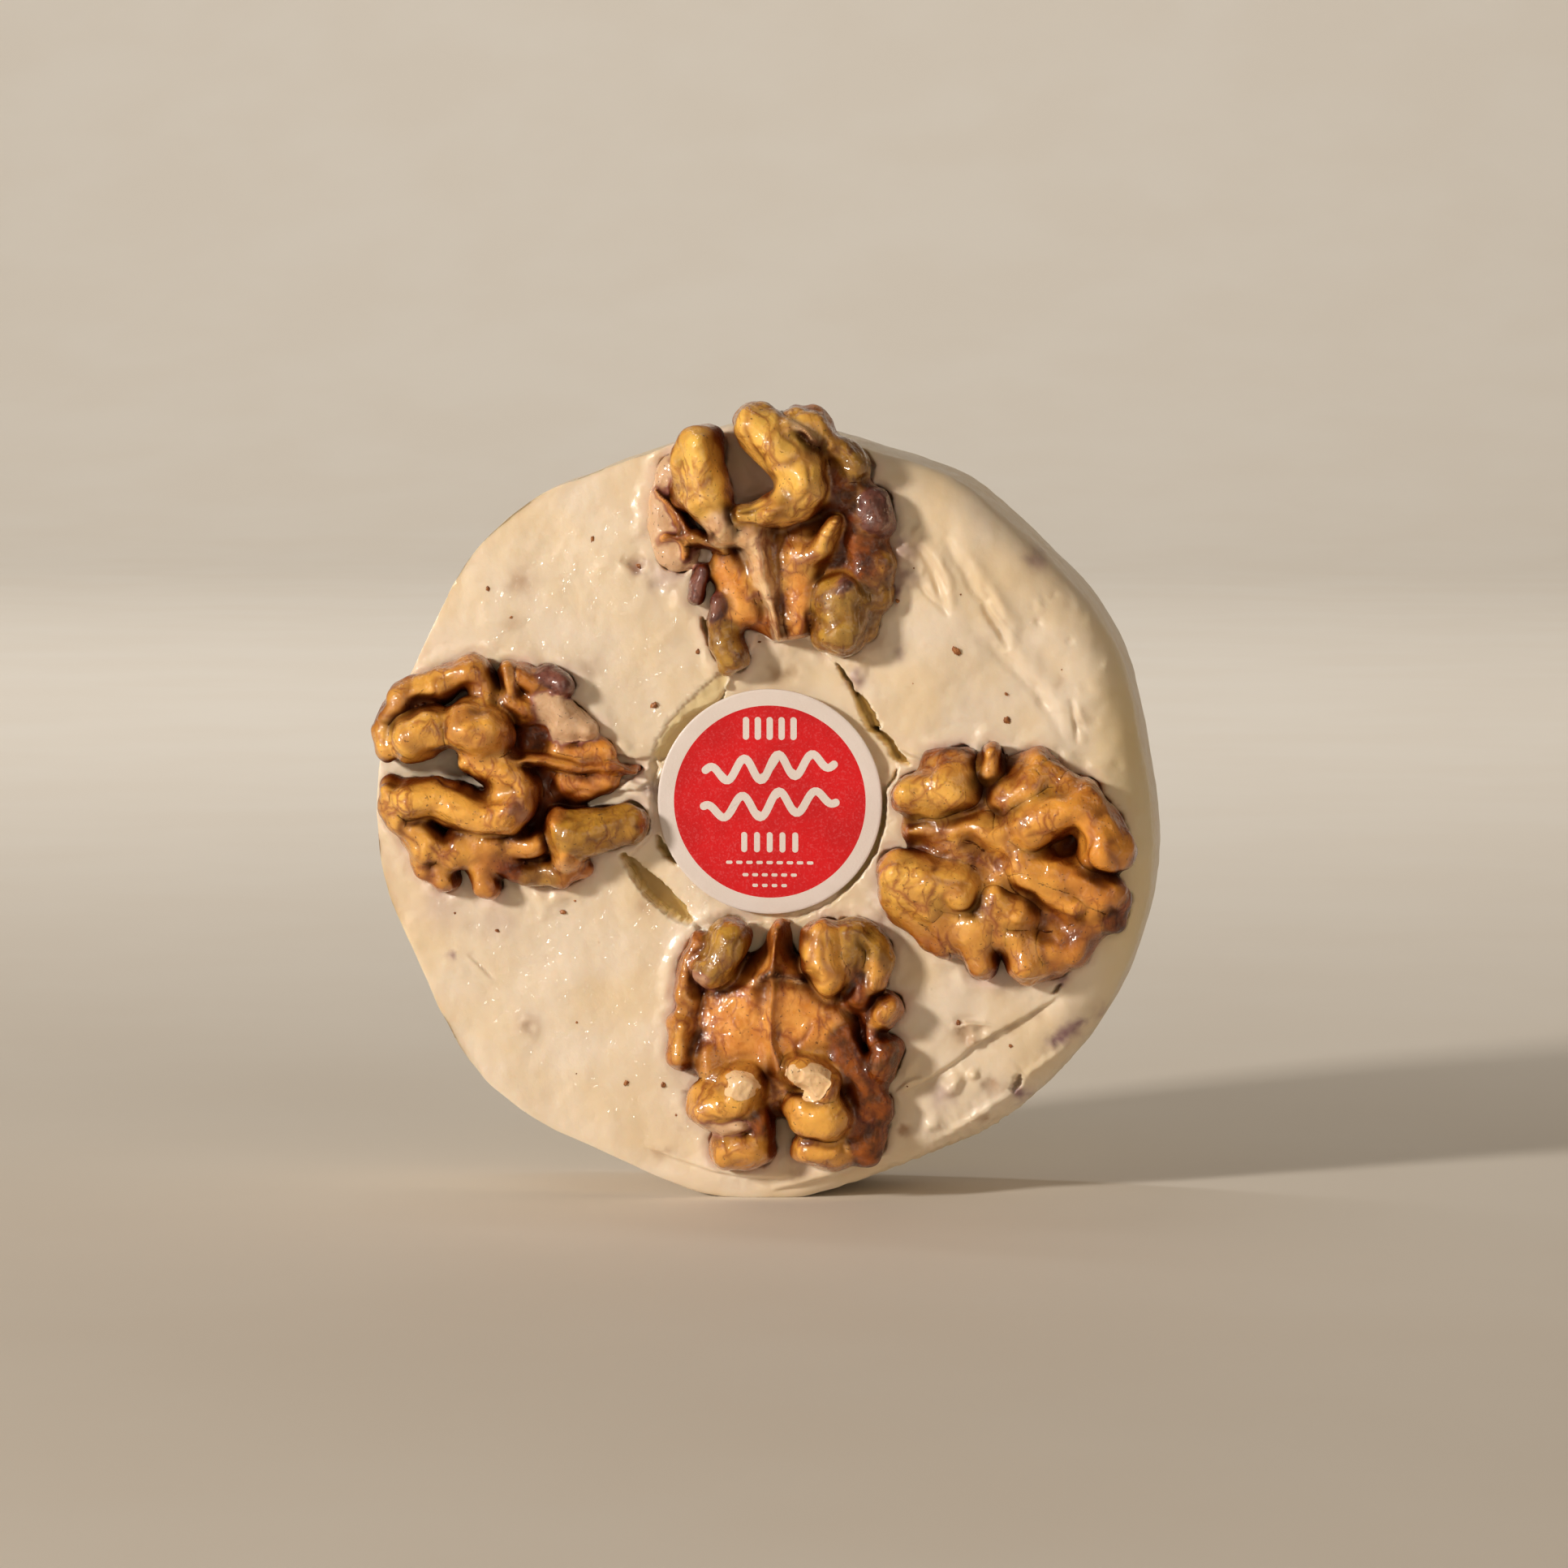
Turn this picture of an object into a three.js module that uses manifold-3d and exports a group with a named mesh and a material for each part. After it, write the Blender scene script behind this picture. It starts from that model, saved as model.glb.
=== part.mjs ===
// A small fresh cheese wheel that stands on its edge. Four walnut halves are pressed into its front face, inner side
// out, round a thin round label. The paste round the label has sunk and split away from the four fields between them.
//
// Millimetres, +Z up. The origin is the middle of the small flat that the wheel stands on. The front face looks along
// -Y, and +X is to the right as seen from the front.
//
// Everything is laid out on the front face, in a frame of its own: right, up and out, measured from the wheel's axis.
// One group turns that frame upright.

import * as THREE from "three";
import { mergeVertices } from "three/addons/utils/BufferGeometryUtils.js";
import Module from "manifold-3d";

// The wheel
const WHEEL_RADIUS = 44.1;
const WHEEL_THICKNESS = 22.5;
const FOOT_DROP = 44; // from the axis down to the flat that it stands on
const WALL_BULGE = 0.3;
const BACK_EDGE = 1.8; // rounding of the back edge
const CRISP_SHOULDER = 1.3; // rounding of the front edge on its crisp side
const WORN_SHOULDER = 5.2; // and on its worn side
const WORN_DIRECTION = -6; // degrees from +X
const RIM_SLUMP = 0.8; // how far the face falls towards its edge
const FACE_SWELL = 0.14; // low waves in the face

// Where the rim is pressed flat: [direction in degrees, distance from the axis]
const FLATS = [
  [10, 43.6],
  [47, 43.3],
  [73, 43],
  [110, 42.7],
  [155, 42.9],
  [204, 43.1],
  [246, 43],
  [291, 43.3],
];
const FLAT_CORNERS = 90; // the higher, the sharper the corners beside a flat

// Where the rim swells out: [direction in degrees, how far, how narrow]
const SWELLS = [
  [334, 0.8, 9],
  [270, 0.4, 30],
];

// Facets of the wheel: steps round it, and along each zone of its profile
const SIDES = 64;
const PROFILE = { back: 2, backEdge: 2, wall: 2, shoulder: 4, face: 5 };

// The label, and the sunk ground that it lies on
const LABEL_RADIUS = 12.75;
const LABEL_THICKNESS = 0.5;
const LABEL_PROUD = 0.3; // how far it stands out of the face
const LABEL_MIDDLE = [1.1, 1.4];
const GROUND_DROP = 0.5;
const GROUND = [
  [0.1, 19.8],
  [4.4, 20],
  [8.5, 16.6],
  [16.1, 5.8],
  [14.6, -2.5],
  [11.2, -10.6],
  [3, -12.4],
  [-8, -13],
  [-15.5, -4.8],
  [-13.2, 4.9],
  [-8, 11.3],
  [-3, 15],
];

// Gaps in the paste round the label
const CRESCENT = {
  depth: 4,
  undercut: 1.5, // how far it runs in under the label
  from: 110,
  to: 155,
  outer: [
    [-12.5, 7.1],
    [-11.3, 9.9],
    [-8.5, 12.9],
    [-4.4, 16.4],
  ],
};
const LOWER_RIFT = {
  depth: 5,
  width: 2.4,
  line: [
    [-15.7, -5.2],
    [-12.6, -8.6],
    [-8, -12.3],
  ],
};
const UPPER_RIFT = {
  depth: 3,
  width: 0.9,
  line: [
    [9, 16.3],
    [12.3, 12.1],
    [14, 8.7],
    [16.7, 6.3],
  ],
};

// Knife strokes: [half its width, how deep, then the points of its line]
const STROKES = [
  [1.7, 0.5, [21.2, 30.5], [24.8, 24.2], [27.4, 19.8]],
  [1.5, 0.45, [24.3, 20.5], [29.4, 15.8], [34.4, 8.3]],
  [1.6, 0.5, [16.4, -32.1], [26.9, -24.5], [32.6, -20.3]],
];
const SMEAR = [1.5, 0.5, [17.2, -34.6], [25.5, -29.2], [31, -24.6]]; // paste pushed up beside one stroke

// Walnut halves. Each is a web of thin skin with folds on it: [half its width, how far it stands out, then the points
// of its middle line], measured from the middle of the half.
const FOLD_ROOT = 1.6; // depth of each fold's root under the face
const BELLY = { radius: 10.5, top: -1, root: 5.6 }; // the rounded back of a half, inside the paste
const SOCKET_GAP = 0.38;
const HALVES = {
  top: {
    middle: [1.4, 30.8],
    web: { at: [0.4, -1.4], reach: [10.6, 9.4], top: 3 },
    folds: [
      [3.3, 8.1, [-7.6, 9.2], [-6.6, 3.6]],
      [3.7, 8.5, [-1.5, 11.8], [2.4, 9.6], [4, 5.8]],
      [2.4, 8, [4, 5.6], [-0.2, 3.6]],
      [1.9, 4.4, [0.8, 13.2], [5.2, 12.4]],
      [2.2, 4, [9.3, 8.9], [6.5, 10.8]],
      [2.7, 4.9, [11.6, 3.3], [8.1, 4.3]],
      [1.3, 5.4, [5.5, -1], [7.8, 2]],
      [2.3, 3.2, [-9.8, 6.1], [-11.9, 3], [-10.5, -2.1]],
      [1, 4.3, [-5.7, 0.5], [-1.6, -0.1], [-0.4, -3], [0.9, -10.4]],
      [1.2, 2.8, [-7.9, -3], [-8.8, -6]],
      [1.6, 3.6, [-4.3, -3], [-5.2, -7.2]],
      [1.9, 2.8, [-5.4, -9.4], [-4.6, -12.6]],
      [3.2, 5.2, [7.9, -5.8], [8.1, -10.2]],
      [1.8, 2.3, [12, -2.1], [11.2, -6.2]],
    ],
  },
  left: {
    middle: [-27.9, 3.9],
    web: { at: [2.4, 0.9], reach: [10.6, 8.6], top: 2.4 },
    folds: [
      [3.6, 8.4, [-9.6, 5.4], [-3.2, 6.2]],
      [2, 4.4, [-11.2, 9.2], [-7.6, 11], [-4.2, 11.6]],
      [2, 4.4, [-13.7, 6.2], [-13.7, 3.2]],
      [2.4, 7, [-12.1, -1.7], [-6.4, -2.8], [-0.8, -3.5]],
      [2.3, 4.6, [-12.2, -5], [-8.4, -8.2], [-8.6, -11]],
      [2, 4.2, [-6.5, -7.1], [-1.2, -7.7]],
      [2, 3.5, [-3.6, -9], [-2.5, -12]],
      [1.8, 3.2, [0.6, -9.6], [5.4, -10.8]],
      [3.1, 6.1, [7.6, -6.3], [13.2, -4.7]],
      [1.1, 3.8, [-4.6, 1.6], [4.2, 1.8], [13, 1.2]],
      [2.3, 5.4, [-2.2, 2.6], [0.4, -2.2]],
      [1.8, 4, [4.8, 11], [5.7, 6.5], [9.2, 5.4]],
      [1.7, 3.5, [0.2, 8], [1.4, 11.2]],
    ],
  },
  right: {
    middle: [27.3, -4.9],
    web: { at: [-0.6, 0.6], reach: [10.8, 9], top: 2.6 },
    folds: [
      [2.7, 5.5, [-9, 7.4], [-5.4, 8.8]],
      [1.6, 3.5, [-1.4, 9], [-1, 11.6]],
      [1.7, 3.4, [3, 9], [4.4, 11]],
      [2.4, 4.9, [0.2, 6.8], [5.2, 8]],
      [2.5, 7.1, [4.4, 4.6], [8.6, 5.7], [11.2, 3.6], [12, 0.4]],
      [1.3, 3.9, [-10.2, 3.3], [-1, 3], [3.9, -1.7]],
      [2.1, 5.5, [4, -0.6], [11, -2.6]],
      [1.8, 5.1, [2.6, -2.4], [9, -5.2]],
      [2.1, 3.9, [12, -4.2], [10, -8.4]],
      [3.1, 6.3, [-10.6, -2.4], [-6.2, -3.6]],
      [1.9, 3.3, [-10, -5.8], [-4.2, -9.7], [-2.4, -11.4]],
      [2.3, 4.9, [-3.4, -6], [2.6, -6]],
      [2.1, 4.1, [3, -8.6], [3.6, -11.6]],
      [1.8, 3.6, [6, -11], [8.6, -8.8]],
    ],
  },
  bottom: {
    middle: [3, -25.9],
    web: { at: [-0.4, 2], reach: [11.4, 9.6], top: 3 },
    folds: [
      [1.1, 3.7, [-0.7, 12.6], [-1, 5], [-1.2, -2.1]],
      [2.6, 6.2, [-6.8, 11.6], [-7.2, 8.4]],
      [2.6, 6.4, [4.4, 12], [5.2, 8.2]],
      [1.9, 4.3, [7.6, 12.6], [10, 10.4], [10.6, 7]],
      [2, 4.8, [9.6, 4.6], [11.4, 3.6]],
      [1.7, 3.9, [10, 0.4], [11.7, -3.4]],
      [2.6, 3.9, [10, -6.6], [9.4, -11.2]],
      [1.5, 2.9, [-10.4, 8.6], [-11.6, 4.4], [-11.6, -1.6]],
      [3.6, 7.2, [-7, -6.4], [-4.8, -5.6]],
      [2.5, 4.7, [-6.3, -12], [-3.3, -12]],
      [3.2, 7.1, [3.6, -3.6], [4.4, -7.8]],
      [2.4, 4.3, [3.2, -12], [6.4, -12]],
      [2.4, 4.2, [-8, 1], [-7.6, -3]],
      [2.6, 4, [6.5, 2], [8, -3.5]],
    ],
  },
};

// Facets of a fold: six sides with an edge on top, drawn out sideways to their full width
const FOLD_SIDES = 6;
const FOLD_FILL = 1.12;
const FOLD_CAP_RINGS = 2;
const FOLD_STEP = 4;

const wasm = await Module();
wasm.setup();

const radians = THREE.MathUtils.degToRad;
const mix = THREE.MathUtils.lerp;

function solidOf(geometry) {
  const bare = geometry.clone();
  bare.deleteAttribute("normal");
  bare.deleteAttribute("uv");
  const merged = mergeVertices(bare, 1e-4);
  const corners = merged.index.array;
  const kept = [];
  for (let k = 0; k < corners.length; k += 3) {
    const [a, b, c] = corners.subarray(k, k + 3);
    if (a !== b && b !== c && c !== a) kept.push(a, b, c);
  }
  return new wasm.Manifold(
    new wasm.Mesh({
      numProp: 3,
      vertProperties: merged.attributes.position.array,
      triVerts: Uint32Array.from(kept),
    }),
  );
}

function geometryOf(solid) {
  const { numProp, vertProperties, triVerts } = solid.getMesh();
  const places = new Float32Array((vertProperties.length / numProp) * 3);
  for (let k = 0; k < places.length / 3; k++) {
    places.set(vertProperties.subarray(k * numProp, k * numProp + 3), k * 3);
  }
  const geometry = new THREE.BufferGeometry();
  geometry.setAttribute("position", new THREE.BufferAttribute(places, 3));
  geometry.setIndex(new THREE.BufferAttribute(triVerts, 1));
  return geometry;
}

const joined = (solids) => solids.reduce((all, next) => all.add(next));

// The largest body of a solid, without the scraps that a cut leaves loose
function largest(solid) {
  return solid.decompose().reduce((a, b) => (a.volume() > b.volume() ? a : b));
}

// How far the face stands out at a place on it
function faceLevel(x, y) {
  const slump = RIM_SLUMP * (Math.hypot(x, y) / WHEEL_RADIUS) ** 4;
  return FACE_SWELL * Math.sin(x / 6 + 1) * Math.cos(y / 7) - slump;
}

// Distance from the axis to the rim
function rimRadius(angle) {
  let full = WHEEL_RADIUS;
  for (const [direction, reach, narrowness] of SWELLS) {
    full += reach * Math.max(0, Math.cos(angle - radians(direction))) ** narrowness;
  }
  let nearness = full ** -FLAT_CORNERS;
  for (const [direction, distance] of FLATS) {
    const facing = Math.cos(angle - radians(direction));
    if (facing > 0) nearness += (facing / distance) ** FLAT_CORNERS;
  }
  return nearness ** (-1 / FLAT_CORNERS);
}

function shoulderAt(angle) {
  const facing = (1 + Math.cos(angle - radians(WORN_DIRECTION))) / 2;
  return mix(CRISP_SHOULDER, WORN_SHOULDER, THREE.MathUtils.smoothstep(facing, 0.3, 0.9));
}

// A place on the wheel's profile: its distance from the axis and how far out it is
function profilePoint(zone, along, angle) {
  const rim = rimRadius(angle);
  const shoulder = shoulderAt(angle);
  const turn = (along * Math.PI) / 2;
  const back = -WHEEL_THICKNESS;
  switch (zone) {
    case "back":
      return [along * (rim - BACK_EDGE), back];
    case "backEdge":
      return [rim - BACK_EDGE * (1 - Math.sin(turn)), back + BACK_EDGE * (1 - Math.cos(turn))];
    case "wall":
      return [rim + WALL_BULGE * Math.sin(2 * turn), mix(back + BACK_EDGE, -shoulder, along)];
    case "shoulder":
      return [rim - shoulder * (1 - Math.cos(turn)), -shoulder * (1 - Math.sin(turn))];
    default:
      return [(1 - along) * (rim - shoulder), 0];
  }
}

function wheel() {
  const stations = [["back", 0]];
  for (const [zone, steps] of Object.entries(PROFILE)) {
    for (let k = 1; k <= steps; k++) stations.push([zone, k / steps]);
  }
  const plain = stations.map(([, along], k) => new THREE.Vector2(1, k));
  const lathe = new THREE.LatheGeometry(plain, SIDES);
  const places = lathe.attributes.position;
  for (let k = 0; k < places.count; k++) {
    const angle = ((Math.floor(k / stations.length) % SIDES) / SIDES) * 2 * Math.PI;
    const [zone, along] = stations[k % stations.length];
    const [radius, out] = profilePoint(zone, along, angle);
    const x = radius * Math.cos(angle);
    const y = radius * Math.sin(angle);
    const raised = zone === "face" || zone === "shoulder" ? faceLevel(x, y) : 0;
    places.setXYZ(k, x, Math.max(y, -FOOT_DROP), out + raised);
  }
  return solidOf(lathe);
}

// A rounded bar laid along the face through the points of its middle line. Its section is an oval that reaches from
// top above the level that it lies at down to root under it.
function bar(radius, top, root, points, level = 0) {
  const line = new THREE.CatmullRomCurve3(points.map(([x, y]) => new THREE.Vector3(x, y, 0)));
  const steps = points.length === 2 ? 1 : Math.ceil(line.getLength() / FOLD_STEP);
  const shape = new THREE.CapsuleGeometry(radius, 1, FOLD_CAP_RINGS, FOLD_SIDES, steps).rotateY(Math.PI / 2);
  const places = shape.attributes.position;
  for (let k = 0; k < places.count; k++) {
    const y = places.getY(k);
    const along = THREE.MathUtils.clamp(y, -0.5, 0.5);
    const middle = line.getPointAt(along + 0.5);
    const ahead = line.getTangentAt(along + 0.5);
    const right = places.getX(k) * FOLD_FILL;
    const beyond = y - along;
    const x = middle.x + ahead.y * right + ahead.x * beyond;
    places.setXYZ(k, x, middle.y - ahead.x * right + ahead.y * beyond, places.getZ(k));
  }
  shape.scale(1, 1, (top + root) / 2 / radius);
  return solidOf(shape.translate(0, 0, level + (top - root) / 2));
}

function oval([x, y], [across, high], top, root, sides) {
  const shape = new THREE.SphereGeometry(1, sides, sides / 2).rotateX(Math.PI / 2);
  shape.scale(across, high, (top + root) / 2);
  return solidOf(shape.translate(x, y, (top - root) / 2));
}

// The back of a half: flat where the folds stand on it, and rounded below
function belly(spare) {
  const radius = BELLY.radius + spare;
  const top = BELLY.top + spare;
  const root = -BELLY.root - spare;
  const profile = [
    [0, root],
    [radius * 0.6, mix(root, top, 0.15)],
    [radius, mix(root, top, 0.6)],
    [radius * 0.93, top],
    [0, top],
  ].map(([across, out]) => new THREE.Vector2(across, out));
  return solidOf(new THREE.LatheGeometry(profile, 14).rotateX(Math.PI / 2));
}

// A walnut half about its own middle, or with some spare all round, the socket for it
function walnutHalf({ web, folds }, spare = 0) {
  const root = FOLD_ROOT + spare;
  return joined([
    belly(spare),
    oval(web.at, [web.reach[0] + spare, web.reach[1] + spare], web.top + spare, root, 12),
    ...folds.map(([radius, top, ...line]) => bar(radius + spare, top + spare, root, line)),
  ]);
}

// A straight-walled cut into the face
function pit(outline, depth) {
  const shape = new THREE.Shape(outline.map(([x, y]) => new THREE.Vector2(x, y)));
  const above = 3;
  const cut = new THREE.ExtrudeGeometry(shape, { depth: depth + above, bevelEnabled: false });
  return solidOf(cut.translate(0, 0, -depth));
}

// A rift that is widest in its middle and closes at both ends
function rift({ depth, width, line }) {
  const path = new THREE.SplineCurve(line.map(([x, y]) => new THREE.Vector2(x, y)));
  const steps = 8;
  const sideOf = (sign) => (unused, k) => {
    const along = (k + (sign < 0 ? 0 : 1)) / steps;
    const { x, y } = path.getPoint(along);
    const ahead = path.getTangent(along);
    const half = (sign * width * Math.sin(Math.PI * along)) / 2;
    return [x - ahead.y * half, y + ahead.x * half];
  };
  const right = Array.from({ length: steps }, sideOf(-1));
  const left = Array.from({ length: steps }, sideOf(1)).reverse();
  return pit([...right, ...left], depth);
}

function crescent({ depth, undercut, from, to, outer }) {
  const steps = 5;
  const inner = Array.from({ length: steps + 1 }, (unused, k) => {
    const angle = radians(mix(from, to, k / steps));
    const radius = LABEL_RADIUS - undercut;
    return [LABEL_MIDDLE[0] + radius * Math.cos(angle), LABEL_MIDDLE[1] + radius * Math.sin(angle)];
  });
  return pit([...inner, ...outer], depth);
}

function cheese() {
  const levelAt = (line) => faceLevel(...line[1]);
  const [width, height, ...ridge] = SMEAR;
  const body = wheel().add(bar(width, height, height, ridge, levelAt(ridge)));
  const cuts = [
    pit(GROUND, GROUND_DROP),
    crescent(CRESCENT),
    rift(LOWER_RIFT),
    rift(UPPER_RIFT),
    ...STROKES.map(([half, deep, ...line]) => bar(half, deep, deep, line, levelAt(line))),
    ...Object.values(HALVES).map((half) => walnutHalf(half, SOCKET_GAP).translate([...half.middle, 0])),
  ];
  return largest(body.subtract(joined(cuts)));
}

function named(name, geometry, material) {
  const mesh = new THREE.Mesh(geometry, new THREE.MeshStandardMaterial(material));
  mesh.name = name;
  return mesh;
}

const face = new THREE.Group();
face.add(named("cheese", geometryOf(cheese()), { color: "#f0dfbd", roughness: 0.55, metalness: 0 }));

const disc = new THREE.CylinderGeometry(LABEL_RADIUS, LABEL_RADIUS, LABEL_THICKNESS, 64).rotateX(Math.PI / 2);
const label = named("label", disc, { color: "#c8141c", roughness: 0.4, metalness: 0 });
label.position.set(...LABEL_MIDDLE, LABEL_PROUD - LABEL_THICKNESS / 2);
face.add(label);

for (const [place, half] of Object.entries(HALVES)) {
  const nut = geometryOf(largest(walnutHalf(half)));
  const mesh = named(`kernel_${place}`, nut, { color: "#b98a45", roughness: 0.5, metalness: 0 });
  mesh.position.set(...half.middle, 0);
  face.add(mesh);
}

face.position.set(0, -WHEEL_THICKNESS / 2, FOOT_DROP);
face.rotation.x = Math.PI / 2;

const part = new THREE.Group();
part.add(face);

export default part;
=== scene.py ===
import math

import bpy
import numpy as np
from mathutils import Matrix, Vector, noise as blenderNoise


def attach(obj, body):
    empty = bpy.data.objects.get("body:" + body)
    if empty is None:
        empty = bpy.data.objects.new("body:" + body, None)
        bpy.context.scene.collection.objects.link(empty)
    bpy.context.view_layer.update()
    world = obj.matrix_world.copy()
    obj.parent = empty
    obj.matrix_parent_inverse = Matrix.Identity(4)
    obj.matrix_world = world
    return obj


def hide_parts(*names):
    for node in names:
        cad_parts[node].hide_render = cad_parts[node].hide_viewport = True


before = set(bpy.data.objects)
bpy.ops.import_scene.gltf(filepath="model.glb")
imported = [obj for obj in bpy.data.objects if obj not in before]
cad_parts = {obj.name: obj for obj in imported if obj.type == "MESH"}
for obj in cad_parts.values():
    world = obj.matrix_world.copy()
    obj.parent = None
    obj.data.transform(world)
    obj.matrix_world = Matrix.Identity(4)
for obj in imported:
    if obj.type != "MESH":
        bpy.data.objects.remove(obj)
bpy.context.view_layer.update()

# Shapes are laid out in millimetres on the front face: right, up and out, measured from the wheel's axis.
# toWorld turns them upright and into metres.
wheel = {
    "radius": 44.1,
    "thickness": 22.5,
    "footDrop": 44.0,  # from the axis down to the flat that it stands on
    "wallBulge": 0.3,
    "backEdge": 1.8,  # rounding of the back edge
    "crispShoulder": 0.8,  # rounding of the front edge on its crisp side
    "wornShoulder": 5.2,  # and on its worn side
    "wornDirection": -6,  # degrees from the right
    "rimSlump": 0.8,
    "faceSwell": 0.14,
    "flats": [  # (direction in degrees, distance from the axis)
        (10, 43.6), (47, 43.3), (73, 43), (110, 42.7), (155, 42.9), (204, 43.1), (246, 43), (291, 43.3),
    ],
    "flatCorners": 90,  # the higher, the harder the corners between the flats
    "swells": [(334, 0.8, 9), (270, 0.4, 30)],  # (direction in degrees, reach, narrowness)
}
labelDisc = {"middle": (1.1, 1.4), "radius": 12.75, "redRadius": 10.9, "thickness": 0.5, "proud": 0.3}


def toWorld(places):
    right, up, out = np.asarray(places, float).T
    depth = -wheel["thickness"] / 2 - out
    return np.column_stack([right, depth, wheel["footDrop"] + up]) / 1000


def paint(code):  # a screen colour as the linear colour that a shader takes
    parts = [int(code[k : k + 2], 16) / 255 for k in (0, 2, 4)]
    return (*[c / 12.92 if c < 0.04045 else ((c + 0.055) / 1.055) ** 2.4 for c in parts], 1)


# Camera
view = {
    "azimuth": 6,
    "elevation": 4.5,
    "distance": 0.7,  # metres
    "aim": (2.7, 3.4),
    "pixelsPerMm": 10.9,
    "frame": 1932,
}


def makeCamera():
    turn, lift = math.radians(view["azimuth"]), math.radians(view["elevation"])
    back = Vector((math.sin(turn) * math.cos(lift), -math.cos(turn) * math.cos(lift), math.sin(lift)))
    aim = Vector(toWorld([(*view["aim"], 0)])[0])
    camera = bpy.data.objects.new("camera", bpy.data.cameras.new("camera"))
    bpy.context.collection.objects.link(camera)
    camera.location = aim + back * view["distance"]
    camera.rotation_euler = back.to_track_quat("Z", "Y").to_euler()
    focalPixels = view["pixelsPerMm"] * view["distance"] * 1000
    camera.data.sensor_width = 36
    camera.data.lens = focalPixels / view["frame"] * camera.data.sensor_width
    camera.data.clip_start = 0.01
    bpy.context.scene.camera = camera
    bpy.context.scene.view_settings.view_transform = "Standard"


makeCamera()
print("camera placed")


# Numbers that every piece uses
def smooth(low, high, value):
    part = np.clip((value - low) / (high - low), 0, 1)
    return part * part * (3 - 2 * part)


def noise(places, size, seed, layers=1):  # smooth noise from about -1 to 1, with lumps about size across
    grid = np.zeros((len(places), 3))
    grid[:, : np.shape(places)[1]] = places
    grid = grid / size + (seed * 17.31, seed * 5.77, seed * 9.13)
    return np.array([blenderNoise.fractal(place, 1.0, 2.0, layers) for place in grid.tolist()])


def curveThrough(points, steps=6):
    points = np.array(points, float)
    if len(points) == 1:
        points = np.vstack([points - (0.01, 0), points + (0.01, 0)])
    ends = np.vstack([2 * points[0] - points[1], points, 2 * points[-1] - points[-2]])
    line = []
    for k in range(len(points) - 1):
        a, b, c, d = ends[k : k + 4]
        for t in np.linspace(0, 1, steps, endpoint=False):
            bend = 2 * a - 5 * b + 4 * c - d + t * (3 * (b - c) + d - a)
            line.append(b + 0.5 * t * ((c - a) + t * bend))
    return np.array([*line, points[-1]])


# For each place: how far the line is, how far along it the nearest point lies, and on which side
def fromLine(places, line):
    near, along, side = np.full(len(places), np.inf), np.zeros(len(places)), np.zeros(len(places))
    for k in range(len(line) - 1):
        step = line[k + 1] - line[k]
        part = np.clip((places - line[k]) @ step / (step @ step), 0, 1)
        gap = places - line[k] - part[:, None] * step
        far = np.hypot(gap[:, 0], gap[:, 1])
        closer = far < near
        near[closer] = far[closer]
        along[closer] = (k + part[closer]) / (len(line) - 1)
        side[closer] = np.sign(step[0] * gap[closer, 1] - step[1] * gap[closer, 0])
    return near, along, side


def insideOf(places, corners):  # distance to an outline, positive inside it
    ring = np.array([*corners, corners[0]], float)
    near = fromLine(places, ring)[0]
    inside = np.zeros(len(places), bool)
    for (x1, y1), (x2, y2) in zip(ring[:-1], ring[1:]):
        crosses = (y1 > places[:, 1]) != (y2 > places[:, 1])
        at = x1 + (places[:, 1] - y1) * (x2 - x1) / (y2 - y1 if y2 != y1 else 1)
        inside ^= crosses & (places[:, 0] < at)
    return np.where(inside, near, -near)


def closeTo(places, line, margin):  # which places lie in the line's box, with a margin
    low, high = np.min(line, axis=0) - margin, np.max(line, axis=0) + margin
    return np.all((places > low) & (places < high), axis=1)


def addObject(name, mesh):
    piece = bpy.data.objects.new(name, mesh)
    bpy.context.collection.objects.link(piece)
    return piece


def baked(piece, name):  # the piece's mesh with its modifiers applied
    bpy.context.view_layer.update()
    graph = bpy.context.evaluated_depsgraph_get()
    mesh = bpy.data.meshes.new_from_object(piece.evaluated_get(graph), depsgraph=graph)
    bpy.data.objects.remove(piece)
    mesh.name = name
    return mesh


def placesOf(mesh):
    places = np.empty(len(mesh.vertices) * 3)
    mesh.vertices.foreach_get("co", places)
    return places.reshape(-1, 3)


def setPlaces(mesh, places):
    mesh.vertices.foreach_set("co", np.ascontiguousarray(places, dtype=np.float32).ravel())
    mesh.update()


def giveValues(mesh, name, values):
    layer = mesh.attributes.new(name, "FLOAT", "POINT")
    layer.data.foreach_set("value", np.asarray(values, dtype=np.float32))


def finishPiece(name, mesh, materials, replaced=(), rounded=True):
    if rounded:
        mesh.shade_smooth()
    mesh.materials.clear()
    for material in materials:
        mesh.materials.append(material)
    piece = addObject(name, mesh)
    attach(piece, "root")
    if replaced:
        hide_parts(*replaced)
    return piece


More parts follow.
